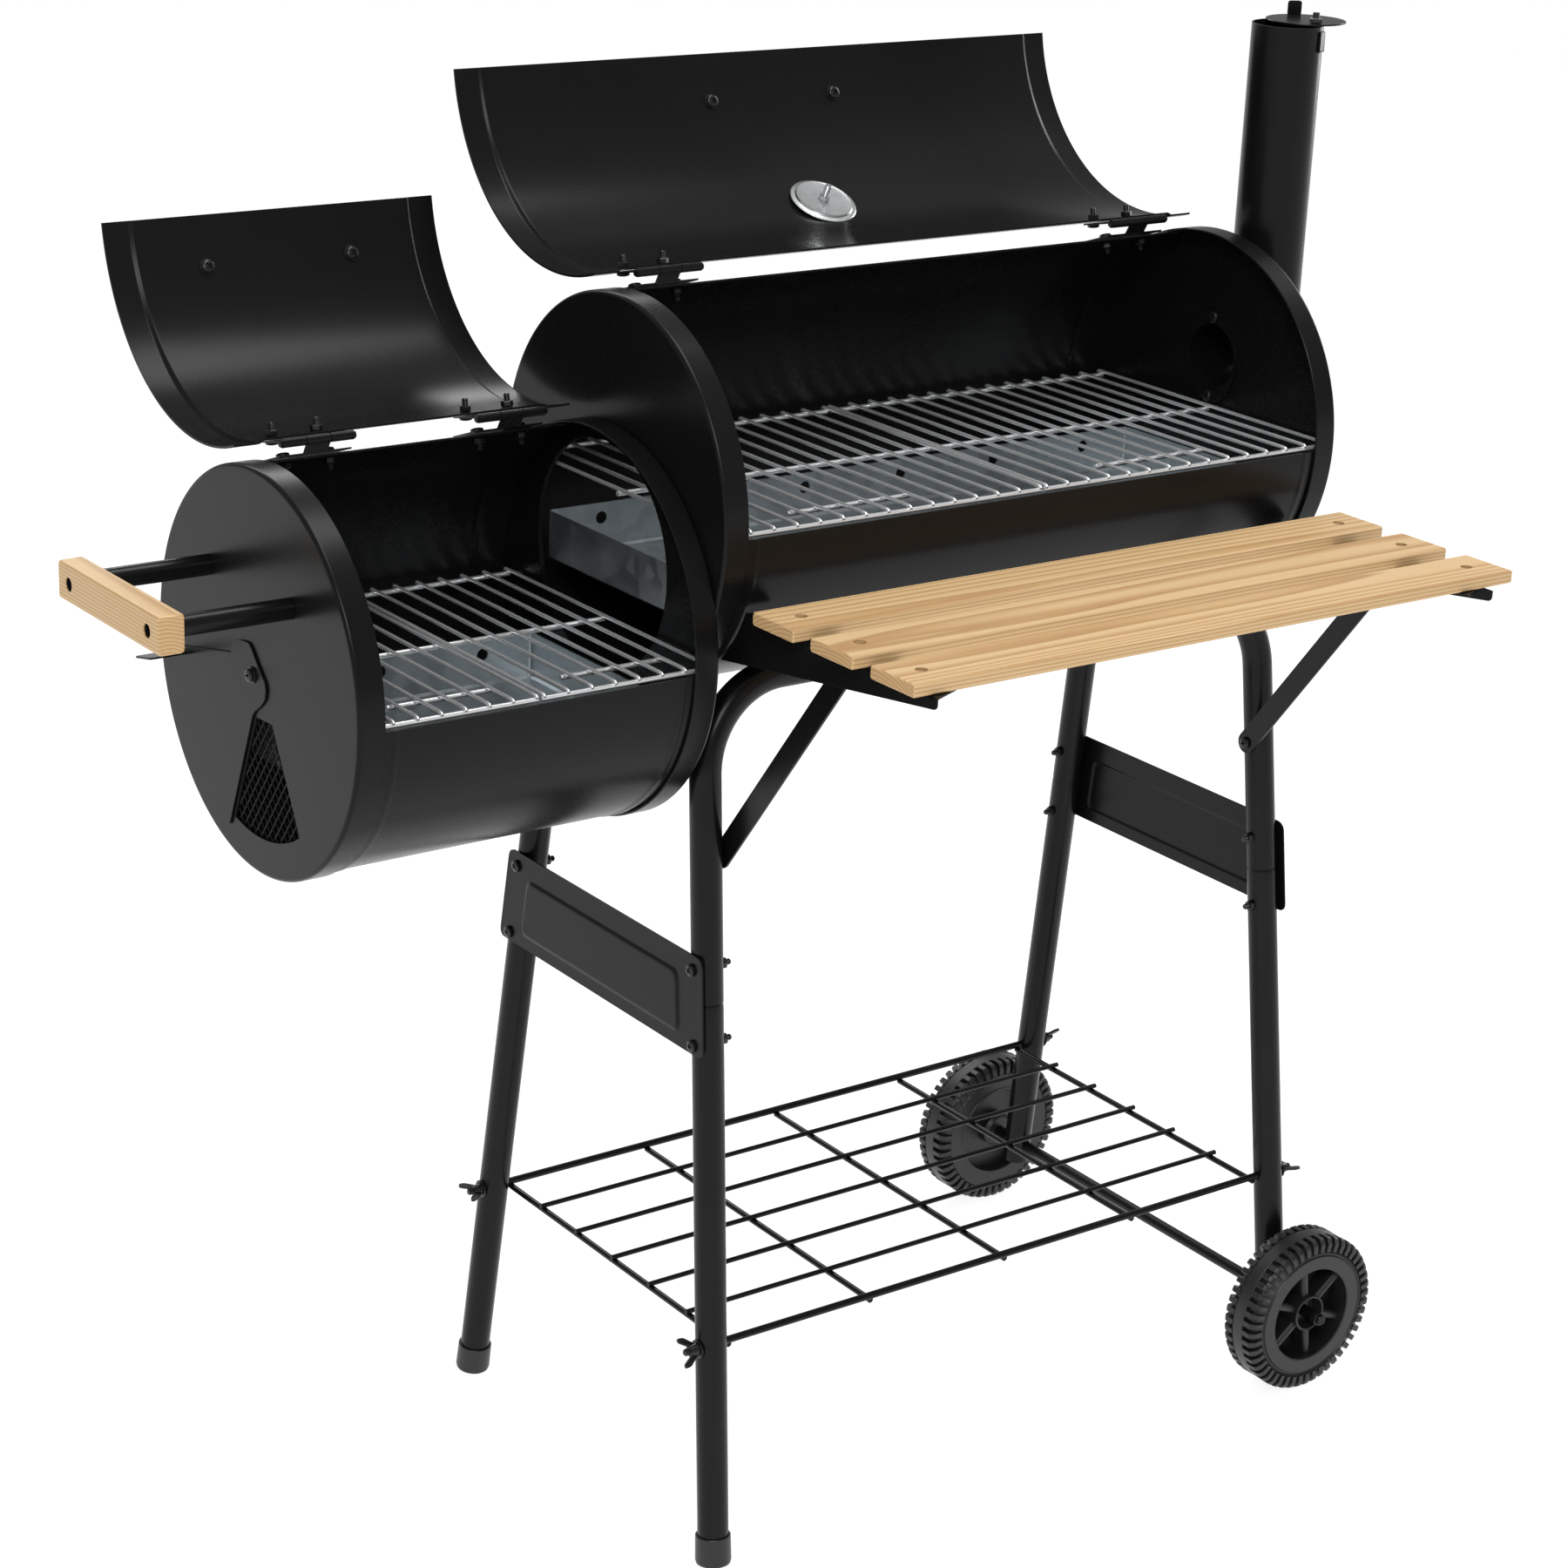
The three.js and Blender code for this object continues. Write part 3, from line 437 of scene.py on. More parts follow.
def pine(name, along, pith, seed=0.0):
    """Planed pine: growth rings about a pith line beside the board, and fibres along it."""
    n = Nodes(name, "pine")
    stretch = {"X": (0.9, 14.0, 14.0), "Y": (14.0, 0.9, 14.0)}[along]
    fibre = {"X": (12.0, 900.0, 900.0), "Y": (900.0, 12.0, 900.0)}[along]
    parts = n.new("SeparateXYZ", Vector=n.place)
    across = parts.outputs["Y" if along == "X" else "X"]
    wander = n.noise(1.7, 2.0, 0.45, stretch)
    slow = n.noise(1.3, 1.0, stretch=tuple(s * 0.35 for s in stretch))
    u = n.math("ADD", n.math("SUBTRACT", across, pith[0]), n.spread(slow, -0.014 - seed * 0.004, 0.014))
    v = n.math("ADD", n.math("SUBTRACT", parts.outputs["Z"], pith[1]), n.spread(wander, -0.005, 0.005))
    distance = n.math("SQRT", n.math("ADD", n.math("MULTIPLY", u, u), n.math("MULTIPLY", v, v)))
    ring = n.math("FRACT", n.math("ADD", n.math("MULTIPLY", distance, 360.0), seed))
    grain = n.ramp(ring, (0.0, (0.72, 0.50, 0.265)), (0.40, (0.70, 0.475, 0.24)), (0.74, (0.52, 0.29, 0.110)),
                   (0.93, (0.42, 0.21, 0.070)), (1.0, (0.70, 0.48, 0.250)))
    fibres = n.noise(1.0, 3.0, 0.6, fibre)
    cloud = n.noise(5.0, 2.0)
    toned = n.mix(n.spread(fibres, 0.0, 0.5, 0.35, 0.7), grain, (0.60, 0.40, 0.195))
    sawn = n.mix(n.spread(cloud, 0.0, 0.25), toned, (0.74, 0.56, 0.33))
    # The ends drink in more of the finish.
    facing = n.new("SeparateXYZ", Vector=n.coordinates["Normal"])
    end = n.spread(n.math("ABSOLUTE", facing.outputs[along]), 0.0, 0.55, 0.7, 0.95)
    colour = n.mix(end, sawn, n.mix(0.5, grain, (0.42, 0.24, 0.10)))
    n.bump((ring, 0.12, 0.12), (fibres, 0.25, 0.08))
    return n.set(Base_Color=colour, Roughness=n.spread(ring, 0.52, 0.42), Specular_IOR_Level=0.4)


def plain(name, slot, colour, rough=0.5, metal=0.0):
    """A small part's finish, with a light grain."""
    n = Nodes(name, slot)
    cloud = n.noise(80.0, 3.0)
    tint = n.ramp(cloud, (0.3, tuple(c * 0.93 for c in colour)), (0.7, tuple(min(1.0, c * 1.05) for c in colour)))
    n.bump((n.noise(1500.0, 2.0), 0.05, 0.02))
    return n.set(Base_Color=tint, Roughness=n.spread(cloud, rough - 0.04, rough + 0.04), Metallic=metal)


PAINT = black_paint()
FRAME_PAINT = black_paint("frame_black", 0.0045, 0.25, 0.2)
BOLT_BLACK = plain("bolt_black", "satin_black_paint", (0.012, 0.012, 0.013), 0.26, 0.3)
PLASTIC = black_plastic()
CHROME = chrome()
ZINC = zinc()
PLATE_STEEL = plain("thermometer_steel", "zinc_plate", (0.80, 0.82, 0.83), 0.26, 1.0)
BEZEL = plain("bezel_steel", "polished_steel", (0.6, 0.61, 0.63), 0.18, 1.0)


def painted(name, mesh, replaces=(), **how):
    """A piece of the stand in the drums' paint."""
    piece(name, "stand", PAINT, mesh, replaces, **how)


# ---- Fasteners, each standing up from the origin along +Z
def screw_head(radius=5.0, height=3.2):
    """A pan head with a cross recess."""
    dome = [(0, height)] + [(radius * math.sin(a), height - 0.45 * height * (1 - math.cos(a)) - 0.02 * a)
                            for a in (0.25, 0.5, 0.75, 1.0, 1.25, 1.5)]
    profile = dome + [(radius, height * 0.35), (radius * 0.97, 0), (0, 0)]
    obj = placed("head", to_data(turned(profile, 32), "head"))
    width, reach = radius * 0.13, radius * 0.52
    for a, b in ((reach, width), (width, reach)):
        cut(obj, prism(rect(-a, a, -b, b), height * 0.35, height + 1))
    mesh = ([v.co / MM - SHIFT for v in obj.data.vertices], [tuple(p.vertices) for p in obj.data.polygons])
    bpy.data.objects.remove(obj)
    return mesh


SCREW = screw_head()


def washer(outer=6.2, inner=2.6, thick=1.0):
    return turned([(inner, 0), (outer - 0.2, 0), (outer, 0.2), (outer, thick - 0.2), (outer - 0.2, thick),
                   (inner, thick)], 32)


def nut(flats=8.0, height=4.2):
    """A hexagon nut with chamfered corners."""
    corner = flats / math.sqrt(3)
    hexagon = [(corner * math.cos(math.radians(60 * k)), corner * math.sin(math.radians(60 * k))) for k in range(6)]
    inner = [(u * 0.88, v * 0.88) for u, v in hexagon]
    points = [(u, v, z) for ring, z in ((inner, 0), (hexagon, 0.5), (hexagon, height - 0.6), (inner, height))
              for u, v in ring]
    return points, capped(4, 6)


def stud(length, radius=2.4):
    """A bolt's threaded end."""
    profile = [(0, 0)]
    turns = max(2, int(length / 0.9))
    for i in range(turns):
        z = length * i / turns
        profile += [(radius, z), (radius * 0.86, z + 0.5 * length / turns)]
    profile += [(radius * 0.7, length), (0, length)]
    return turned(profile, 16)


def wing_nut():
    """A wing nut: a tapered boss with two rounded ears."""
    boss = turned([(0, 0), (5.2, 0), (5.2, 1.5), (4.0, 7.5), (2.6, 8), (0, 8)], 24)
    ear = rounded([(3.0, 1.0), (4.6, 0.8), (11.5, 9.5), (12.0, 14.5), (8.6, 14.5), (3.2, 6.5)], 1.6, 4)
    ears = [moved(prism(ear, -1.1, 1.1, "Y"), spun(turn)) for turn in (0, 180)]
    return joined(boss, *ears)


def bolted(at, outward, roll=20.0, ring=True):
    """A screw head on its washer."""
    direction = Vector(outward).normalized()
    parts = [aimed(SCREW, Vector(at) + direction * (1.0 if ring else 0.0), direction, roll)]
    if ring:
        parts.append(aimed(washer(), at, direction))
    return joined(*parts)


def nutted(at, outward, roll=10.0, extra=4.0):
    """A nut with its stud end showing."""
    direction = Vector(outward).normalized()
    return joined(aimed(nut(), at, direction, roll), aimed(stud(4.2 + extra), at, direction))


# ---- Drums
def barrels():
    for drum in (MAIN, FIRE):
        x0, x1 = drum["x0"] + 1.8, drum["x1"] - 1.8
        # The sheet steps in beside each cap, where a bead seats it.
        bead = [(BARREL_R, x0), (BARREL_R, x0 + 24), (BARREL_R + 0.9, x0 + 26), (BARREL_R + 0.9, x0 + 30),
                (BARREL_R, x0 + 32.5), (BARREL_R, x1 - 32.5), (BARREL_R + 0.9, x1 - 30), (BARREL_R + 0.9, x1 - 26),
                (BARREL_R, x1 - 24), (BARREL_R, x1)]
        profile = bead + [(r - SHEET, x) for r, x in reversed(bead)]
        sheet = arc_sheet(profile, 0, drum["z"], OPENING[1], OPENING[0] + 360, 150)
        painted(f"{drum['name']}_barrel_sheet", sheet, [f"{drum['name']}_barrel"], sharp=40)


def cap_mesh(drum, face, inward):
    """A dished end: flat disc, rolled edge and rim band with a turned-in lip."""
    edge = 3.2
    outer = [(0, face), (CAP_R - edge - 3.5, face)]
    outer += [(CAP_R - edge + edge * math.sin(a), face + inward * edge * (1 - math.cos(a)))
              for a in (i * math.pi / 16 for i in range(9))]
    outer += [(CAP_R, face + inward * (CAP_BAND - 0.6)), (CAP_R - 0.6, face + inward * CAP_BAND)]
    inner_r = CAP_R - SHEET
    inner = [(inner_r - 0.1, face + inward * CAP_BAND), (inner_r - 0.2, face + inward * (edge + 1)),
             (inner_r - 1.4, face + inward * (SHEET + 0.4)), (inner_r - 3, face + inward * SHEET),
             (0, face + inward * SHEET)]
    return turned_x(outer + inner, 0, drum["z"], 160)


def caps():
    passage = moved(plug(PASSAGE["r"], 8, 96), x_axis(0, PASSAGE["y"], PASSAGE["z"]))
    flue = moved(plug(28.4, 8, 48), x_axis(600, 0, FLUE_Z))
    vent = prism([(-2.4, -31.1), (-25.9, -29.9), *arc(121.5, -122.6, -74.8, 40)], -305, -290, "X")
    vent = moved(vent, Matrix.Translation((0, 0, FIRE["z"])))
    pivot = moved(plug(3.5, 8), x_axis(-297, 0, FIRE["z"]))
    for name, drum, face, inward, cuts in (
        ("main_left_cap", MAIN, MAIN["x0"], 1, [passage]), ("main_right_cap", MAIN, MAIN["x1"], -1, [flue]),
        ("firebox_right_cap", FIRE, FIRE["x1"], -1, [passage]),
        ("firebox_left_cap", FIRE, FIRE["x0"], 1, [vent, pivot]),
    ):
        painted(f"{name}_dish", cap_mesh(drum, face, inward), [name], cuts=cuts, sharp=28)


def flue_ring():
    """The oval plate and two screws that hold the pipe, inside the right cap."""
    x = MAIN["x1"] - SHEET - 0.2
    plate = prism(ellipse(30.5, 39.5, 64), x - 1.6, x, "X")
    ring = moved(plate, Matrix.Translation((0, 0, FLUE_Z)))
    bore = moved(plug(27.2, 8, 48), x_axis(600, 0, FLUE_Z))
    painted("flue_ring", ring, cuts=[bore], bevel=0.4)
    screws = [bolted((x - 1.6, 0, FLUE_Z + dz), (-1, 0, 0), 30, False) for dz in (33.4, -33.4)]
    nuts = [nutted((MAIN["x1"] + 1.9, 0, FLUE_Z + dz * 1.22), (1, 0, 0)) for dz in (33.4, -33.4)]
    piece("flue_screws", "stand", BOLT_BLACK, joined(*screws, *nuts))


def ellipse(a, b, steps):
    return [(a * math.cos(2 * math.pi * k / steps), b * math.sin(2 * math.pi * k / steps)) for k in range(steps)]


# ---- Lids
def lids():
    for drum in (MAIN, FIRE):
        x0, x1 = drum["lid_x"]
        ease = [(0.0, -2.4), (0.15, -1.2), (0.5, 0.0), (0.85, 1.2), (1.0, 2.4)]
        left = [(LID_R - LID_JOGGLE * t, x0 + LID_STRIP + dx) for t, dx in ease]
        right = [(LID_R - LID_JOGGLE * t, x1 - LID_STRIP - dx) for t, dx in reversed(ease)]
        outer = [(LID_R - 0.3, x0), (LID_R, x0 + 0.3), *left, *right, (LID_R, x1 - 0.3), (LID_R - 0.3, x1)]
        profile = outer + [(r - SHEET, x) for r, x in reversed(outer)]
        centre = (PIN[0] + LID_CENTRE[0], drum["z"] + PIN[1] + LID_CENTRE[1])
        sheet = arc_sheet(profile, *centre, *LID_ANGLES, 110)
        hole = aimed(plug(4.3, 12), lid_point(drum, DIAL_X, LOW_R, DIAL_ANGLE), radial(DIAL_ANGLE))
        cuts = [hole] if drum is MAIN else []
        piece(f"{drum['name']}_lid_sheet", drum["lid"], PAINT, sheet, [drum["lid"]], cuts=cuts, sharp=40)


def radial(degrees):
    a = math.radians(degrees)
    return Vector((0, math.cos(a), math.sin(a)))


def lid_screws():
    """The screws of the lid handles, seen from inside each lid."""
    for drum in (MAIN, FIRE):
        middle = sum(drum["lid_x"]) / 2
        inside = LOW_R - SHEET - 0.2
        heads = [bolted(lid_point(drum, middle + dx, inside, HANDLE_ANGLE), -radial(HANDLE_ANGLE), 40)
                 for dx in (-BOLT_HALF, BOLT_HALF)]
        piece(f"{drum['name']}_lid_handle_screws", drum["lid"], BOLT_BLACK, joined(*heads))


# ---- Handles
def handle(name, body, standoff, matrix, along, pith):
    """A pine bar on two tubes, built along Y and standing out in -X."""
    back = -standoff - 0.3
    bolts = (-BOLT_HALF, BOLT_HALF)
    outline = rounded(rect(back - 20, back, -14, 14), 3.2, 5)
    points = []
    for y, shrink in ((-HANDLE_HALF, 0.93), (1.2 - HANDLE_HALF, 1.0), (HANDLE_HALF - 1.2, 1.0), (HANDLE_HALF, 0.93)):
        points += [(back - 10 + (u - back + 10) * shrink, y, v * shrink) for u, v in outline]
    mesh = points, capped(4, len(outline))
    holes = [moved(plug(5.2, 12, 28), matrix @ x_axis(back - 20, y, 0)) for y in bolts]
    wood = pine(f"pine_{name}", along, pith, 0.37 * len(name) % 1)
    piece(f"{name}_bar", body, wood, moved(mesh, matrix), [f"{name}_handle"], cuts=holes)
    for end, y in (("rear", BOLT_HALF), ("front", -BOLT_HALF)):
        tube = pipe([(back + 0.3, y, 0), (back + 2.5, y, 0), (-2.5, y, 0), (-0.3, y, 0)], 7.8, 6.3, 32)
        piece(f"{name}_tube_{end}", body, FRAME_PAINT, moved(tube, matrix), [f"{name}_standoff_{end}"])
    heads = [moved(aimed(SCREW, (back - 11.5, y, 0), (-1, 0, 0), 25), matrix) for y in bolts]
    # The black linings in the bolt holes are painted shade: they darken the hole walls, where the bare wood would
    # catch light.
    hole_shade_linings = [moved(pipe([(back - 19.2, y, 0), (back - 9, y, 0)], 5.15, 4.6, 28), matrix) for y in bolts]
    piece(f"{name}_handle_bolts_and_hole_shade", body, BOLT_BLACK, joined(*heads, *hole_shade_linings))


def handles():
    to_side = Matrix.Translation((FIRE["x0"], 8, FIRE["z"] + 63))
    handle("side", "stand", 87.7, to_side, "Y", (-0.552, 0.752))
    for drum in (MAIN, FIRE):
        seat = lid_point(drum, sum(drum["lid_x"]) / 2, LID_R + 0.3, HANDLE_ANGLE)
        matrix = Matrix.Translation(seat) @ spun(180 + HANDLE_ANGLE, "X") @ spun(90)
        handle(drum["lid"], drum["lid"], 45, matrix, "X", (0.36, seat.z * MM))


# ---- Hinges
HINGE_HALF = 29.0
HINGE_THIRD = HINGE_HALF / 3


def hinge(drum, side, x):
    """Two leaves on a pin. The lid's leaf has the outer knuckles and the drum's leaf the middle one."""
    at = Matrix.Translation((x, PIN[0], drum["z"] + PIN[1]))
    name = f"{drum['name']}_{side}_hinge"

    def leaf(line, lift, spans):
        (y0, z0), (y1, z1) = line
        outline = [(y0, z0), (y1, z1), (y1, z1 + lift), (y0, z0 + lift)]
        return [prism(outline, a, b, "X") for a, b in spans]

    def knuckle(a, b):
        ring = [(1.9, a), (3.1, a), (3.4, a + 0.3), (3.4, b - 0.3), (3.1, b), (1.9, b)]
        return turned_x(ring, 0, 0, 36)

    outer = [(-HINGE_HALF, -HINGE_THIRD - 0.3), (HINGE_THIRD + 0.3, HINGE_HALF)]
    plate = leaf([(5.2, 0.5), (34, -5.8)], -1.4, [(-HINGE_HALF, HINGE_HALF)])
    arms = leaf([(0.5, 2.0), (6, 0.33)], -1.4, outer)
    rivet = turned_x([(0, -HINGE_HALF - 1.6), (2.6, -HINGE_HALF - 1.2), (2.7, -HINGE_HALF), (1.8, -HINGE_HALF),
                      (1.8, HINGE_HALF), (2.7, HINGE_HALF), (2.6, HINGE_HALF + 1.2), (0, HINGE_HALF + 1.6)], 0, 0, 28)
    lid_leaf = joined(*plate, *arms, *[knuckle(a, b) for a, b in outer], rivet)
    piece(f"{name}_lid_plate", drum["lid"], PAINT, moved(lid_leaf, at), [f"{name}_lid_leaf"], sharp=30)

    flat = leaf([(2.5, -11.0), (34, -22.2)], 1.4, [(-HINGE_HALF, HINGE_HALF)])
    web = prism([(-2.6, -1.2), (-1.1, -1.2), (3.9, -10.2), (5.2, -11.9), (3.4, -11.3), (2.4, -9.8)],
                -HINGE_THIRD, HINGE_THIRD, "X")
    drum_leaf = joined(*flat, web, knuckle(-HINGE_THIRD, HINGE_THIRD))
    painted(f"{name}_drum_plate", moved(drum_leaf, at), [f"{name}_drum_leaf"], sharp=30)

    # Nuts stand inside the lid with screw heads below; inside the drum only the stud ends hang down.
    inside = lid_point(drum, 0, LOW_R - SHEET - 0.2, -98)
    up = -radial(-98)
    low = lid_point(drum, 0, LOW_R + 2.2, -98)
    lid_set, drum_set = [], []
    for dx in (-18, 18):
        lid_set.append(nutted((x + dx, inside.y, inside.z), up, 15 + dx, 5.5))
        lid_set.append(bolted((x + dx, low.y, low.z), -up, dx, False))
        top = Vector((x + dx, PIN[0] + 18, drum["z"] + PIN[1] - 15.1))
        drum_set.append(bolted(top, (0, 0.335, 0.942), dx, False))
        drum_set.append(nutted(top - 4.4 * Vector((0, 0.335, 0.942)), (0, -0.335, -0.942), dx, 5.0))
    piece(f"{name}_lid_bolts", drum["lid"], BOLT_BLACK, joined(*lid_set))
    piece(f"{name}_drum_bolts", "stand", BOLT_BLACK, joined(*drum_set))


def hinges():
    for drum in (MAIN, FIRE):
        hinge(drum, "left", drum["x0"] + HINGE_IN)
        hinge(drum, "right", drum["x1"] - HINGE_IN)


# ---- Thermometer
def thermometer():
    outward = radial(DIAL_ANGLE)
    seat = lid_point(MAIN, DIAL_X, LOW_R, DIAL_ANGLE)
    inside = lid_point(MAIN, DIAL_X, LOW_R - SHEET - 3.4, DIAL_ANGLE)
    plate = turned([(4.4, 1.2), (20, 1.3), (23.5, 1.9), (24.4, 0.4), (27.4, 0.0), (28, -0.5), (27.6, -1.0),
                    (23.8, -0.6), (4.4, 0.0)], 96)
    piece("thermometer_washer", "main_lid", PLATE_STEEL, aimed(plate, inside, -outward), ["thermometer_plate"])
    tip = joined(
        aimed(turned([(0, 0), (4.6, 0), (4.6, 3.2), (4.2, 3.6), (0, 3.6)], 6), inside - outward * 1.2, -outward),
        aimed(bar([(0, 0, 0), (0, 0, 14), (0, 0, 14.8)], [3.0, 3.0, 2.4], 20), inside, -outward),
    )
    piece("thermometer_stem", "main_lid", BEZEL, tip)
    ring = turned([(0, 0), (27.5, 0), (29.6, 1.2), (30, 3.0), (30, 10), (29.3, 12.2), (27.6, 12.8), (26.2, 12.0),
                   (26.0, 9.6), (0, 9.6)], 96)
    piece("thermometer_case", "main_lid", BEZEL, aimed(ring, seat + outward, outward), ["thermometer_dial"])
    white = plain("dial_white", "polished_steel", (0.78, 0.78, 0.76), 0.5)
    face = aimed(turned([(0, 9.7), (25.8, 9.7), (25.8, 9.9), (0, 9.9)], 72), seat + outward, outward)
    piece("thermometer_face", "main_lid", white, face)
    ticks = []
    for i in range(31):
        length = 4.2 if i % 5 == 0 else 2.2
        tick = box(-0.25, 0.25, 23.6 - length, 23.6, 9.95, 10.05)
        ticks.append(moved(tick, spun(-135 + 9 * i)))
    pointer = prism([(-1.0, -6), (1.0, -6), (0.4, 19), (-0.4, 19)], 10.3, 10.7)
    ticks.append(moved(pointer, spun(118)))
    ticks.append(turned([(0, 10), (2.2, 10), (2.2, 11), (0, 11)], 24))
    marks = aimed(joined(*ticks), seat + outward, outward)
    piece("thermometer_marks", "main_lid", plain("dial_black", "polished_steel", (0.01, 0.01, 0.01)), marks)


# ---- Air vent
DAMPER_HUB = [
    (32.4, 7.7), (29.5, 14.5), (24, 19), (18.4, 20.6), (10, 22), (4.9, 21.8), (0.5, 18.5), (-6.6, 10.6),
    (-14, 3.2), (-18.1, -0.5), (-20, -6.5), (-18.5, -13), (-12.7, -19.6), (-6, -24.5), (-2.5, -26.9),
    (0.2, -30.5), (1, -32.2),
]


def vent():
    face = FIRE["x0"] - 0.3
    outer = face - 1.5
    plate = prism([*DAMPER_HUB, *arc(130.3, -73.2, -5.9, 48)], outer, face, "X")
    thumb = prism(rounded([(outer + 1.2, 92), (outer + 1.2, 118), (outer - 34, 118), (outer - 34, 92)], 3, 4),
                  9.65, 11.15)
    tab = moved(thumb, spun(-12.2, "X"))
    pivot = moved(plug(3.5, 8), x_axis(face, 0, FIRE["z"]))
    up = Matrix.Translation((0, 0, FIRE["z"]))
    piece("air_damper_fan", "air_damper", PAINT, moved(plate, up), ["air_damper"], cuts=[pivot], bevel=0.3)
    piece("air_damper_tab", "air_damper", PAINT, moved(tab, up), bevel=0.25)
    screw = joined(bolted((outer - 0.2, 0, FIRE["z"]), (-1, 0, 0), 15),
                   nutted((FIRE["x0"] + SHEET + 0.3, 0, FIRE["z"]), (1, 0, 0)))
    piece("damper_screw", "stand", BOLT_BLACK, screw, ["damper_pivot_screw"])
    mesh = moved(expanded_mesh(), Matrix.Translation((FIRE["x0"] + 2.4, 0, FIRE["z"])))
    painted("vent_grille", mesh, ["vent_mesh"])


def expanded_mesh(width=8.6, height=11.5):
    """Strands crossing in diamonds, trimmed to a little more than the opening."""
    start, end = math.radians(-134), math.radians(-69)

    def inside(y, z):
        return 26 < math.hypot(y, z) < 126 and start < math.atan2(z, y) < end

    strands = []
    slope = Vector((width, height)).normalized()
    step = width * height / math.hypot(width, height)
    for mirror in (1, -1):
        along = Vector((slope.x, mirror * slope.y))
        across = Vector((-along.y, along.x))
        for i in range(-30, 31):
            hits = [t for t in range(-160, 161) if inside(*(across * i * step + along * t))]
            if len(hits) > 3:
                a, b = (across * i * step + along * t for t in (hits[0], hits[-1]))
                strands.append(bar([(0.0, *a), (0.0, *b)], 0.85, 6))
    return joined(*strands)


# ---- Grates and pans
def grate(node, x0, x1, z, bars, short):
    """Bars lying on three rods and a short one; a bar's front end is nipped and turned down a little."""
    front, back, r = GRATE["front"], GRATE["back"], GRATE["r"]
    z += 2.4
    pitch = (x1 - x0 - 2 * r) / (bars - 1)
    parts = []
    for i in range(bars):
        x = x0 + r + i * pitch
        path = [(x, back + 1.2, z - 1.2), (x, back, z - 0.2), (x, back - 1.5, z), (x, 0, z), (x, front + 1.5, z),
                (x, front - 1.2, z - 0.4), (x, front - 2.6, z - 1.4)]
        parts.append(bar(path, [1.3, r, r, r, r, r, 1.2], 14))
    under = z - 3.3
    parts += [bar([(x0, y, under), (x1, y, under)], 2.0, 16) for y in (back - 3, -3, front)]
    ends = [x0 + r + i * pitch for i in short]
    parts.append(bar([(ends[0] - 4, front + 34, under), (ends[1] + 4, front + 34, under)], 2.0, 16))
    piece(f"{node}_wires", node, CHROME, joined(*parts), [node], sharp=50)


def grates():
    grate("main_grate_left", 4.5, 298.5, MAIN["z"], 15, (4, 9))
    grate("main_grate_right", 301.5, 595.5, MAIN["z"], 15, (4, 9))
    grate("firebox_grate_left", -287.5, -150.15, FIRE["z"], 8, (2, 6))
    grate("firebox_grate_right", -147.15, -4.8, FIRE["z"], 8, (2, 6))


def pans():
    """Folded trays with draught holes in the floor and along the walls."""
    for drum in (MAIN, FIRE):
        (x0, x1), half, depth, sheet = drum["pan_x"], 96.0, 38.0, 1.2
        z = drum["z"] - 76

        def line(inset, radius):
            return rounded(rect(x0 + inset, x1 - inset, -half + inset, half - inset), radius, 5)

        levels = [(line(2, 4), z), (line(0, 5), z + 2), (line(0, 5), z + depth), (line(sheet, 4), z + depth),
                  (line(sheet, 4), z + sheet + 2), (line(3, 4), z + sheet)]
        points = [(x, y, level) for loop, level in levels for x, y in loop]
        columns = round((x1 - x0) / 95)
        holes = []
        for i in range(columns):
            x = x0 + (i + 0.5) * (x1 - x0) / columns
            holes += [aimed(plug(5, 4), (x, y, z), (0, 0, 1)) for y in (-half / 2, half / 2)]
            holes.append(bar([(x, -half - 4, z + depth - 12), (x, half + 4, z + depth - 12)], 5, 24))
        mesh = points, capped(len(levels), len(points) // len(levels))
        piece(f"{drum['name']}_pan_tray", "stand", ZINC, mesh, [f"{drum['name']}_charcoal_pan"], cuts=holes, sharp=30)


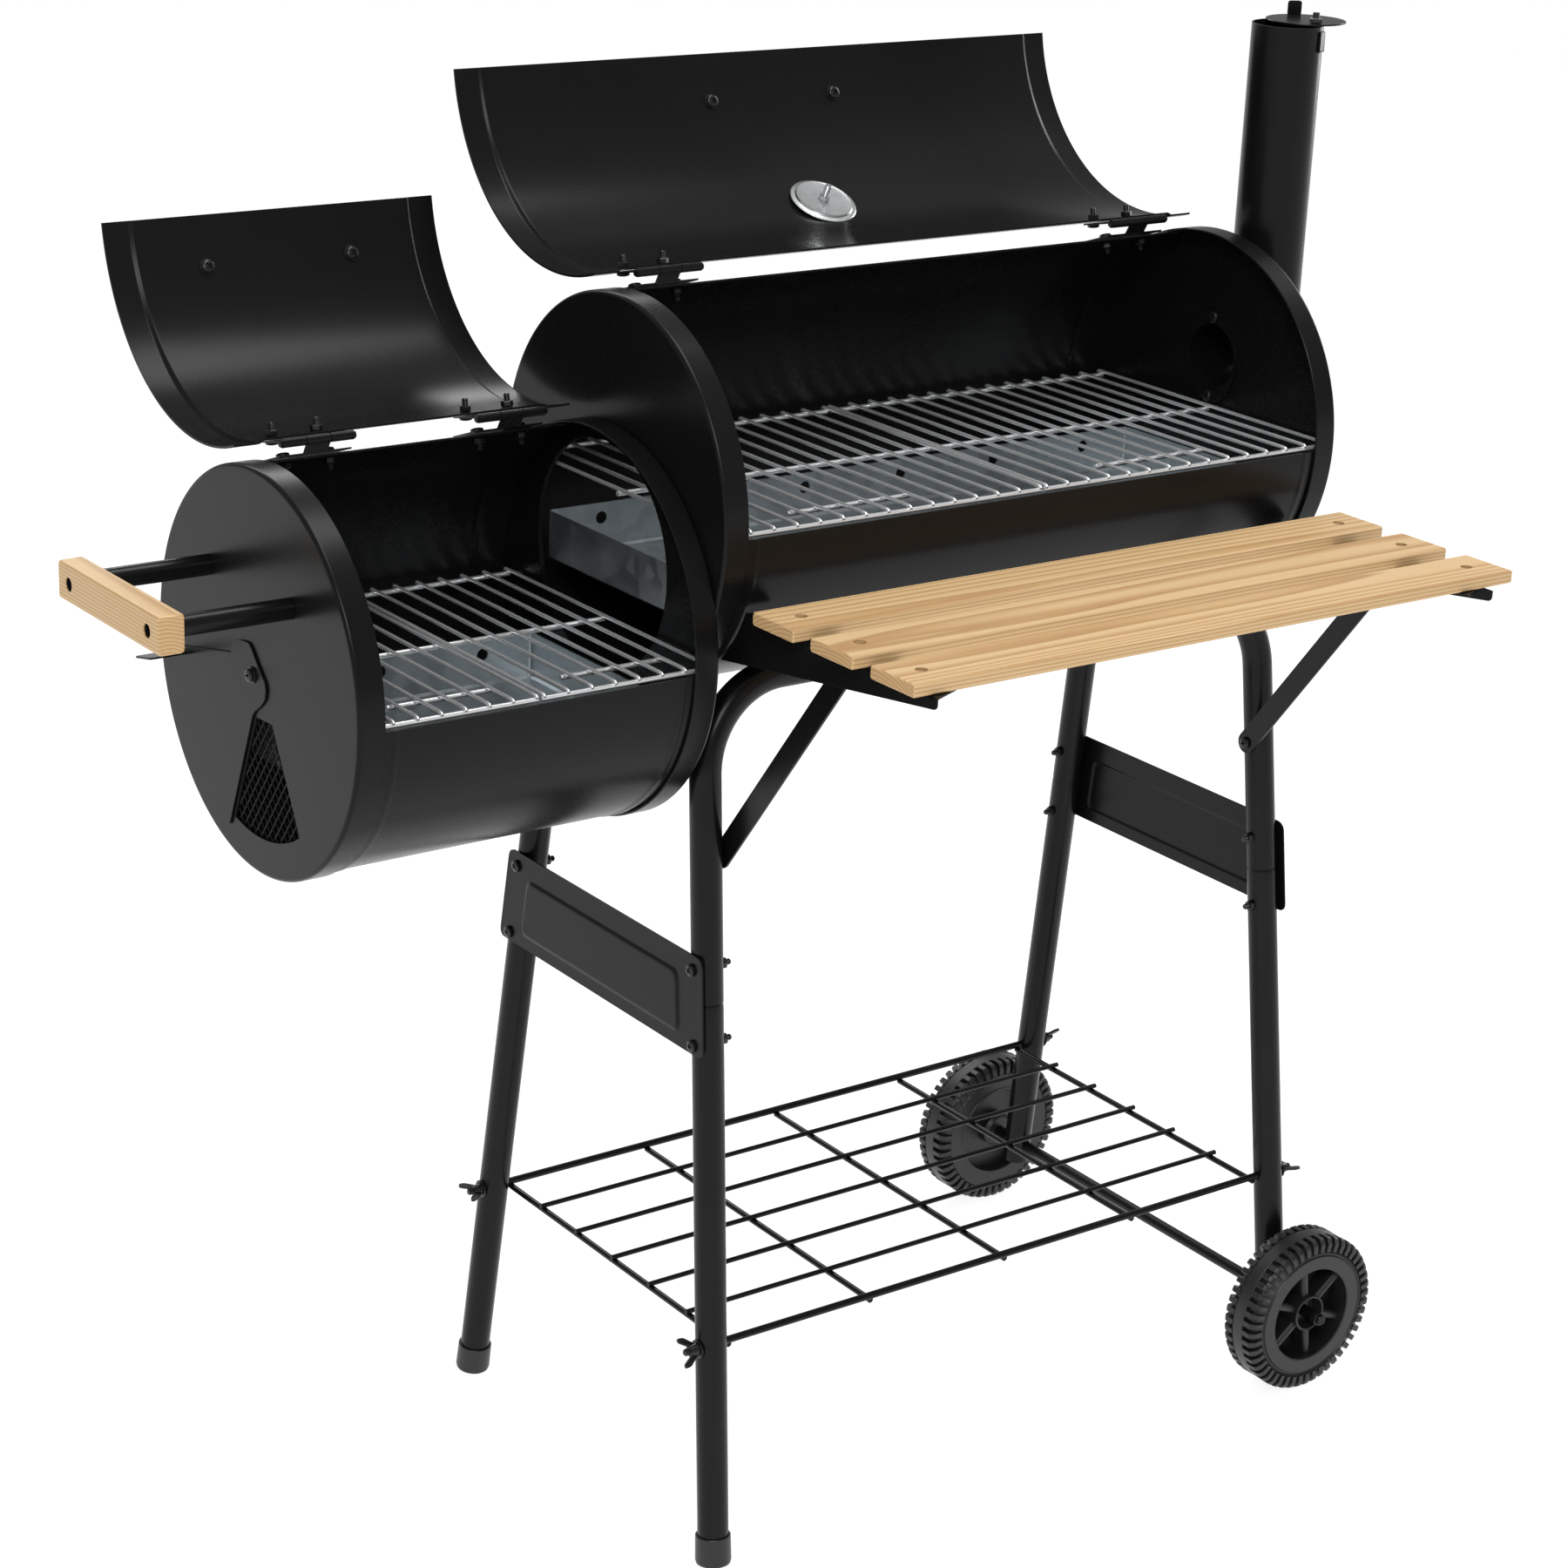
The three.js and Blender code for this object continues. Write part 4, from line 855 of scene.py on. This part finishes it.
# ---- Chimney
def chimney():
    route = bent([(600.5, 0, FLUE_Z), (PIPE_X, 0, FLUE_Z), (PIPE_X, 0, 1138)], 50, 22)
    painted("chimney_tube", pipe(route, PIPE_R, PIPE_R - SHEET, 64), ["chimney_pipe"])
    plate = moved(prism(ellipse(38, 48, 72), 600.3, 601.8, "X"), Matrix.Translation((0, 0, FLUE_Z)))
    bore = moved(plug(29.6, 8, 48), x_axis(600, 0, FLUE_Z))
    painted("chimney_flange", plate, cuts=[bore], bevel=0.4)
    pivot = Vector((PIPE_X + 10.2, -21.4, 0))
    outward = Vector((10.2, -21.4, 0)).normalized()
    turn = Matrix.Translation((pivot.x, pivot.y, 1138)) @ Matrix.Rotation(
        math.atan2(outward.y, outward.x) - math.pi / 2, 4, "Z")
    lug = joined(box(-5, 5, -5, 7.5, -20, -18.5), box(-5, 5, 6, 7.5, -20, -4))
    painted("chimney_lug", moved(lug, turn), bevel=0.3)
    bottom = 1139.0
    shut = math.atan2(21.4, -10.2)
    spin = (Matrix.Translation((pivot.x, pivot.y, bottom))
            @ Matrix.Rotation(shut - math.radians(50), 4, "Z") @ Matrix.Translation((24, 0, 0)))
    disc = turned([(0, 1.5), (30, 1.5), (32.6, 1.3), (33, 0.8), (32.8, 0.1), (30, 0.0), (0, 0.0)], 96)
    hole = moved(plug(3.3, 8), Matrix.Translation((pivot.x, pivot.y, bottom)))
    piece("rain_cap", "chimney_cap", PAINT, moved(disc, spin), ["chimney_cap"], cuts=[hole])
    ear = prism(rounded(rect(-6, 6, 0.5, 12.6), 2.5, 4), 29, 30.4, "X")
    piece("rain_cap_tab", "chimney_cap", PAINT, moved(ear, spin), bevel=0.25)
    bolt = joined(
        aimed(bar([(0, 0, -30), (0, 0, 10)], 2.9, 20), pivot + Vector((0, 0, bottom)), (0, 0, 1)),
        aimed(nut(9, 4), pivot + Vector((0, 0, bottom + 1.8)), (0, 0, 1), 12),
        aimed(stud(3.6, 2.9), pivot + Vector((0, 0, bottom + 5.6)), (0, 0, 1)),
    )
    piece("chimney_pivot_bolt", "stand", BOLT_BLACK, bolt, ["chimney_bolt"])


# ---- Stand
def stand_tubes():
    for name, side in SIDES:
        low = JOINT_Z + 0.3
        corners = [leg(end, side, z) for end, z in ((0, low), (0, FRAME_TOP), (1, FRAME_TOP), (1, low))]
        tube = pipe(bent(corners, FRAME_BEND, 26), LEG_R, LEG_R - SHEET, 40)
        piece(f"{name}_frame_tube", "stand", FRAME_PAINT, tube, [f"{name}_frame"])
        for (label, end), foot in zip(ENDS, (5, 55)):
            top = leg(end, side, JOINT_Z)
            # The lower leg narrows at its top, where it enters the frame.
            path = [leg(end, side, foot), leg(end, side, 440), leg(end, side, 452), top]
            lower = pipe(path, [LEG_R, LEG_R, LEG_R, LEG_R - 0.7], [LEG_R - SHEET] * 4, 40)
            cuts = []
            if end:
                axle = Vector((WHEEL["x"], leg(1, side, WHEEL["r"]).y, WHEEL["r"]))
                cuts = [bar([axle + Vector((0, -30, 0)), axle + Vector((0, 30, 0))], 5.4, 24)]
            piece(f"{name}_{label}_leg_tube", "stand", FRAME_PAINT, lower, [f"{name}_{label}_leg"], cuts=cuts)
        axis = (leg(0, side, 30) - leg(0, side, 0)).normalized()
        cup = turned([(0, 0.4), (11.6, 0.4), (13.6, 1.6), (14.3, 4), (14.0, 24.4), (13.6, 25), (12.65, 25),
                      (12.65, 6), (0, 6)], 56)
        foot_cup = aimed(cup, leg(0, side, 0), axis)
        floor = box(-80, 80, -300, 300, -60, 0)
        piece(f"{name}_left_foot_cap", "stand", PLASTIC, foot_cup, [f"{name}_left_foot"], cuts=[floor])


def side_panels():
    """Bolted plates with a pressed field, rounded at its corners."""
    top, bottom, sheet = 494.5, 416.5, 1.4
    low, high = (182.8 - LEG_LEAN[1] * z + LEG_R + 1.2 for z in (bottom, top))
    middle = (top + bottom) / 2
    outline = rounded([(-low, bottom), (low, bottom), (high, top), (-high, top)], 8, 8)

    def field(grow):
        corners = [(-113 - grow, 428 - grow), (113 + grow, 428 - grow),
                   (107 + grow, 475.5 + grow), (-107 - grow, 475.5 + grow)]
        return rounded(corners, 8, 8)

    # From the field's face, down its step, over the plate's edge and back inside the step.
    steps = [(field(-3.0), -1.6), (field(-1.6), -1.6), (field(-0.4), -1.1), (field(0.6), -0.3),
             (field(1.6), 0.0), (outline, 0.0), (outline, sheet), (field(1.2), sheet), (field(0.2), sheet - 0.4),
             (field(-0.8), 0.3), (field(-2.0), -0.2)]
    points = [(x, y, z) for line, x in steps for y, z in line]
    faces = capped(len(steps), len(outline))
    for name, end in ENDS:
        outward = 1 if end else -1
        seat = leg(end, -1, middle).x + outward * (LEG_R + sheet + 0.6)
        matrix = (Matrix.Translation((seat, 0, middle))
                  @ Matrix.Rotation(-outward * math.atan(LEG_LEAN[0]), 4, "Y")
                  @ Matrix.Diagonal((-1 if end else 1, 1, 1, 1)) @ Matrix.Translation((0, 0, -middle)))
        painted(f"{name}_panel_plate", moved((points, faces), matrix), [f"{name}_side_panel"], sharp=50)
        bolts = []
        for z in (482.5, 423.4):
            for side in (-1, 1):
                inner = leg(end, side, z)
                bolts.append(bolted(matrix @ Vector((0, inner.y, z)), (outward, 0, 0), 30 + z, False))
                bolts.append(nutted(inner - Vector((outward * (LEG_R - 0.2), 0, 0)), (-outward, 0, 0), 12, 4.5))
        piece(f"{name}_panel_bolts", "stand", BOLT_BLACK, joined(*bolts))


def bottom_rack():
    """Long wires over cross rods, held at the corners by wing nuts outside the legs."""
    z = RACK_Z
    corner = leg(0, 1, z)
    left, right = corner.x + LEG_R + 0.6, leg(1, 1, z).x - LEG_R - 0.6
    parts = []
    for i in range(7):
        y = corner.y * (2 * i / 6 - 1)
        edge = i in (0, 6)
        parts.append(bar([(left, y, z), (right, y, z)], 3.0 if edge else 2.1, 16))
    for i in range(5):
        x = left + 4 + i * (right - left - 8) / 4
        parts.append(bar([(x, -corner.y, z - 4.3), (x, corner.y, z - 4.3)], 2.6, 16))
    piece("bottom_rack_wires", "stand", FRAME_PAINT, joined(*parts), ["bottom_rack"], sharp=50)
    nuts = []
    for end in (0, 1):
        for side in (-1, 1):
            outward = Vector((1 if end else -1, 0, 0))
            at = leg(end, side, z) + outward * (LEG_R - 0.2)
            roll = {(0, -1): 35, (0, 1): 78, (1, -1): 80, (1, 1): 40}[(end, side)]
            nuts.append(aimed(washer(7.5, 3.2, 1.2), at, outward))
            nuts.append(aimed(wing_nut(), at + outward * 1.2, outward, roll))
            nuts.append(aimed(stud(13, 2.9), at, outward))
    piece("rack_wing_nuts", "stand", BOLT_BLACK, joined(*nuts))


# ---- Wheels
def wheel_mesh():
    """A moulded wheel about Z, its outer side up: rim with tread bars, a closed web, six ribs and a hub."""
    r, half = WHEEL["r"], WHEEL["half"]
    rim = turned([(41.7, 12), (41.9, half - 1.6), (43, half - 0.8), (54, half - 0.8), (55, half - 2.2),
                  (56.2, half - 2.2), (57.4, half - 0.7), (58.6, half - 2.0), (64, half - 3.6), (66.4, half - 6.6),
                  (66.8, 6.3), (r - 0.7, 5.9), (r - 0.3, 5.4), (r - 0.3, -5.4), (r - 0.7, -5.9), (66.8, -6.3),
                  (66.4, 6.6 - half), (64, 3.6 - half), (58.6, 2 - half), (57.4, 0.8 - half), (44.8, 0.8 - half),
                  (44, -half), (42.4, -half), (41.7, 0.8 - half)], 144)
    web = turned([(10, -6), (42.2, -6), (42.2, -4), (10, -4)], 96)
    hub = turned([(5.2, -half), (13, -half), (16, 3 - half), (16.5, 8), (16.3, half - 3.6), (15.5, half - 2.8),
                  (14.4, half - 3.2), (13.8, half - 5), (13.4, 5), (5.2, 5)], 64)
    rib = prism([(-4.4, -5), (4.4, -5), *arc(4.0, 0, 180, 12, (0, 8.5))], 15, 42.5, "X")
    ribs = [moved(rib, spun(60 * k + 30)) for k in range(6)]
    count = 48
    blocks = [moved(tread_block(sign), Matrix.Rotation(2 * math.pi * (k + 0.25 * sign) / count, 4, "Z"))
              for sign in (-1, 1) for k in range(count)]
    return joined(rim, web, hub, *ribs, *blocks)


def tread_block(sign):
    """One lug, from the smooth middle band over the shoulder and down the side wall."""
    r, face = WHEEL["r"], WHEEL["half"] - 0.3
    profile = [(66, 6.1), (r, 6.1), (r, face - 4.4), (69.2, face - 2.2), (67, face - 0.6), (64.5, face),
               (58.4, face), (58.4, face - 2.4), (64, face - 5)]
    width = 2.55
    points = []
    for v in (-1, -0.8, 0.8, 1):
        drop = 0.4 if abs(v) == 1 else 0.0
        points += [(u - drop, v * width * u / r, sign * (w - drop)) for u, w in profile]
    return points, capped(4, len(profile))


def wheels():
    x, r, half = WHEEL["x"], WHEEL["r"], WHEEL["half"]
    mesh = wheel_mesh()
    ends = []
    for name, side in SIDES:
        out = Vector((0, side, 0))
        at = Vector((x, WHEEL[name], r))
        node = f"{name}_wheel"
        piece(f"{node}_moulding", node, PLASTIC, aimed(mesh, at, out, 8), [node], sharp=28)
        ends.append(aimed(turned([(4.9, 0), (10, 0), (10, 1.2), (4.9, 1.2)], 32), at + out * 5.4, out))
        ends.append(aimed(nut(11, 6), at + out * (half + 3), out, 14))
    piece("axle_ends", "stand", BOLT_BLACK, joined(*ends))
    front, rear = WHEEL["front"] - half - 12, WHEEL["rear"] + half + 9
    path = [(x, front, r), (x, front + 1, r), (x, rear - 1, r), (x, rear, r)]
    piece("axle_rod", "stand", FRAME_PAINT, bar(path, [4.2, 5.0, 5.0, 4.2], 28), ["axle"])


# ---- Shelf
def shelf():
    z, thick, width = SHELF["top"], SHELF["thick"], SHELF["width"]
    x0, x1 = SHELF["x"]
    screws = []
    for i, name in enumerate(("rear", "middle", "front")):
        back = SHELF["back"] - i * SHELF["pitch"]
        front = back - width
        section = rounded(rect(front, back, z - thick, z), 1.8, 4)
        cy, cz = (front + back) / 2, z - thick / 2
        points = []
        for x, inset in ((x0, 0.8), (x0 + 0.8, 0.0), (x1 - 0.8, 0.0), (x1, 0.8)):
            points += [(x, cy + (y - cy) * (1 - 2 * inset / width), cz + (h - cz) * (1 - 2 * inset / thick))
                       for y, h in section]
        spots = [(x0 + 25, cy), (x1 - 25, cy)]
        holes = [aimed(turned([(0, -6), (4.7, -6), (4.7, 2), (0, 2)], 28), (x, y, z), (0, 0, 1)) for x, y in spots]
        wood = pine(f"pine_{name}", "X", ((cy + SHIFT.y) * MM + 0.018 * (i - 1), 0.698 - 0.012 * i), 0.31 * i)
        piece(f"{name}_plank_board", "stand", wood, (points, capped(4, len(section))), [f"{name}_plank"],
              cuts=holes)
        for x, y in spots:
            screws.append(aimed(SCREW, (x, y, z - 5.9), (0, 0, 1), 20 * i + x))
            screws.append(nutted((x, y, z - thick - 1.9), (0, 0, -1), x, 3.5))
    piece("plank_screws", "stand", BOLT_BLACK, joined(*screws))


def shelf_brackets():
    """Tapered webs with a flange on top, each held up by a flat strut from the leg."""
    top, tip = SHELF["top"] - SHELF["thick"] - 0.3, -363.0
    foot = top - 44.5

    def touch(height):
        return -math.sqrt((CAP_R + 0.3) ** 2 - (MAIN["z"] - height) ** 2)

    edge = [(touch(foot + (top - foot) * k / 8), foot + (top - foot) * k / 8) for k in range(9)]
    web_shape = [*edge, (tip, top), *arc(4, 180, 262, 6, (tip + 4, top - 5))]
    lower, upper = Vector((-115, 565)), Vector((-253, 748))
    lean = math.degrees(math.atan2(upper.y - lower.y, upper.x - lower.x))
    strut_shape = arc(9.2, lean + 90, lean + 270, 16, lower) + arc(9.2, lean - 90, lean + 90, 16, upper)
    for name, end in ENDS:
        inner = -1 if end else 1
        face = leg(end, -1, 565).x + inner * (LEG_R + 0.3)

        def between(a, b):
            return sorted((face + inner * a, face + inner * b))

        painted(f"{name}_bracket_web", prism(web_shape, *between(-SHEET, 0), "X"),
              [f"{name}_shelf_bracket"], bevel=0.4)
        f0, f1 = between(-SHEET, 26)
        flange = prism(rounded([(f0, tip), (f1, tip + 12), (f1, touch(top) - 2), (f0, touch(top) - 2)], 3, 4),
                       top - SHEET, top)
        painted(f"{name}_bracket_flange", flange, bevel=0.3)
        strut = prism(strut_shape, *between(0.3, 2.8), "X")
        piece(f"{name}_strut_bar", "stand", FRAME_PAINT, strut, [f"{name}_shelf_strut"], bevel=0.5)
        out = Vector((inner, 0, 0))
        seen = face + inner * 2.9
        bolts = [bolted((seen, *spot), out, turn, False) for spot, turn in ((lower, 20), (upper, 50))]
        bolts.append(nutted((face, touch(745) + 7, 750), out, 5, 3.0))
        piece(f"{name}_bracket_bolts", "stand", BOLT_BLACK, joined(*bolts))


# ---- Floor, light and camera
def floor_and_backdrop():
    bpy.ops.mesh.primitive_plane_add(size=60, location=(0, 0, 0))
    floor = bpy.context.object
    floor.name = "floor"
    n = Nodes("pale_floor", "floor")
    tone = n.ramp(n.noise(1.2, 2.0), (0.3, (0.26, 0.26, 0.26)), (0.7, (0.28, 0.28, 0.28)))
    floor.data.materials.append(n.set(Base_Color=tone, Roughness=0.7, Specular_IOR_Level=0.2,
                                      Emission_Color=(1.0, 1.0, 1.0), Emission_Strength=0.88))


def area_light(name, location, target, size, power):
    data = bpy.data.lights.new(name, "AREA")
    data.shape = "RECTANGLE"
    data.size, data.size_y = size
    data.energy = power
    obj = placed(name, data)
    obj.location = location
    obj.rotation_euler = (Vector(target) - Vector(location)).to_track_quat("-Z", "Y").to_euler()


def lights():
    world = bpy.data.worlds.new("studio")
    world.use_nodes = True
    background = world.node_tree.nodes["Background"].inputs
    background["Color"].default_value = (1.0, 1.0, 1.0, 1)
    background["Strength"].default_value = 0.38
    bpy.context.scene.world = world
    area_light("key", (-2.0, -2.6, 3.0), (0, 0, 0.7), (1.3, 1.3), 56)
    area_light("top", (0.2, -0.2, 3.4), (0, 0, 0.7), (2.2, 1.0), 40)
    area_light("right", (3.0, 0.4, 1.7), (0.2, 0, 0.6), (0.7, 2.2), 34)
    area_light("back", (0.6, 3.0, 2.6), (0, 0, 0.8), (2.6, 0.9), 34)


def camera():
    """An 81 mm lens, at the front left and above."""
    yaw, roll = 0.638, 0.043
    look = Vector((0.5605, 0.7560, -0.3381)).normalized()
    level = Vector((math.cos(yaw), -math.sin(yaw), 0))
    up = level.cross(look)
    right = math.cos(roll) * level + math.sin(roll) * up
    top = -math.sin(roll) * level + math.cos(roll) * up
    data = bpy.data.cameras.new("camera")
    data.lens = 81.25
    data.sensor_width = 36
    data.clip_end = 100
    obj = placed("camera", data)
    turn = Matrix((right, top, -look)).transposed().to_4x4()
    obj.matrix_world = Matrix.Translation((Vector((-1408.1, -2132.0, 1514.9)) + SHIFT) * MM) @ turn
    bpy.context.scene.camera = obj
    bpy.context.scene.view_settings.view_transform = "Standard"


for build in (camera, lights, floor_and_backdrop, barrels, caps, flue_ring, lids, lid_screws, handles, hinges,
              thermometer, vent, grates, pans, chimney, stand_tubes, side_panels, bottom_rack, wheels, shelf,
              shelf_brackets):
    build()
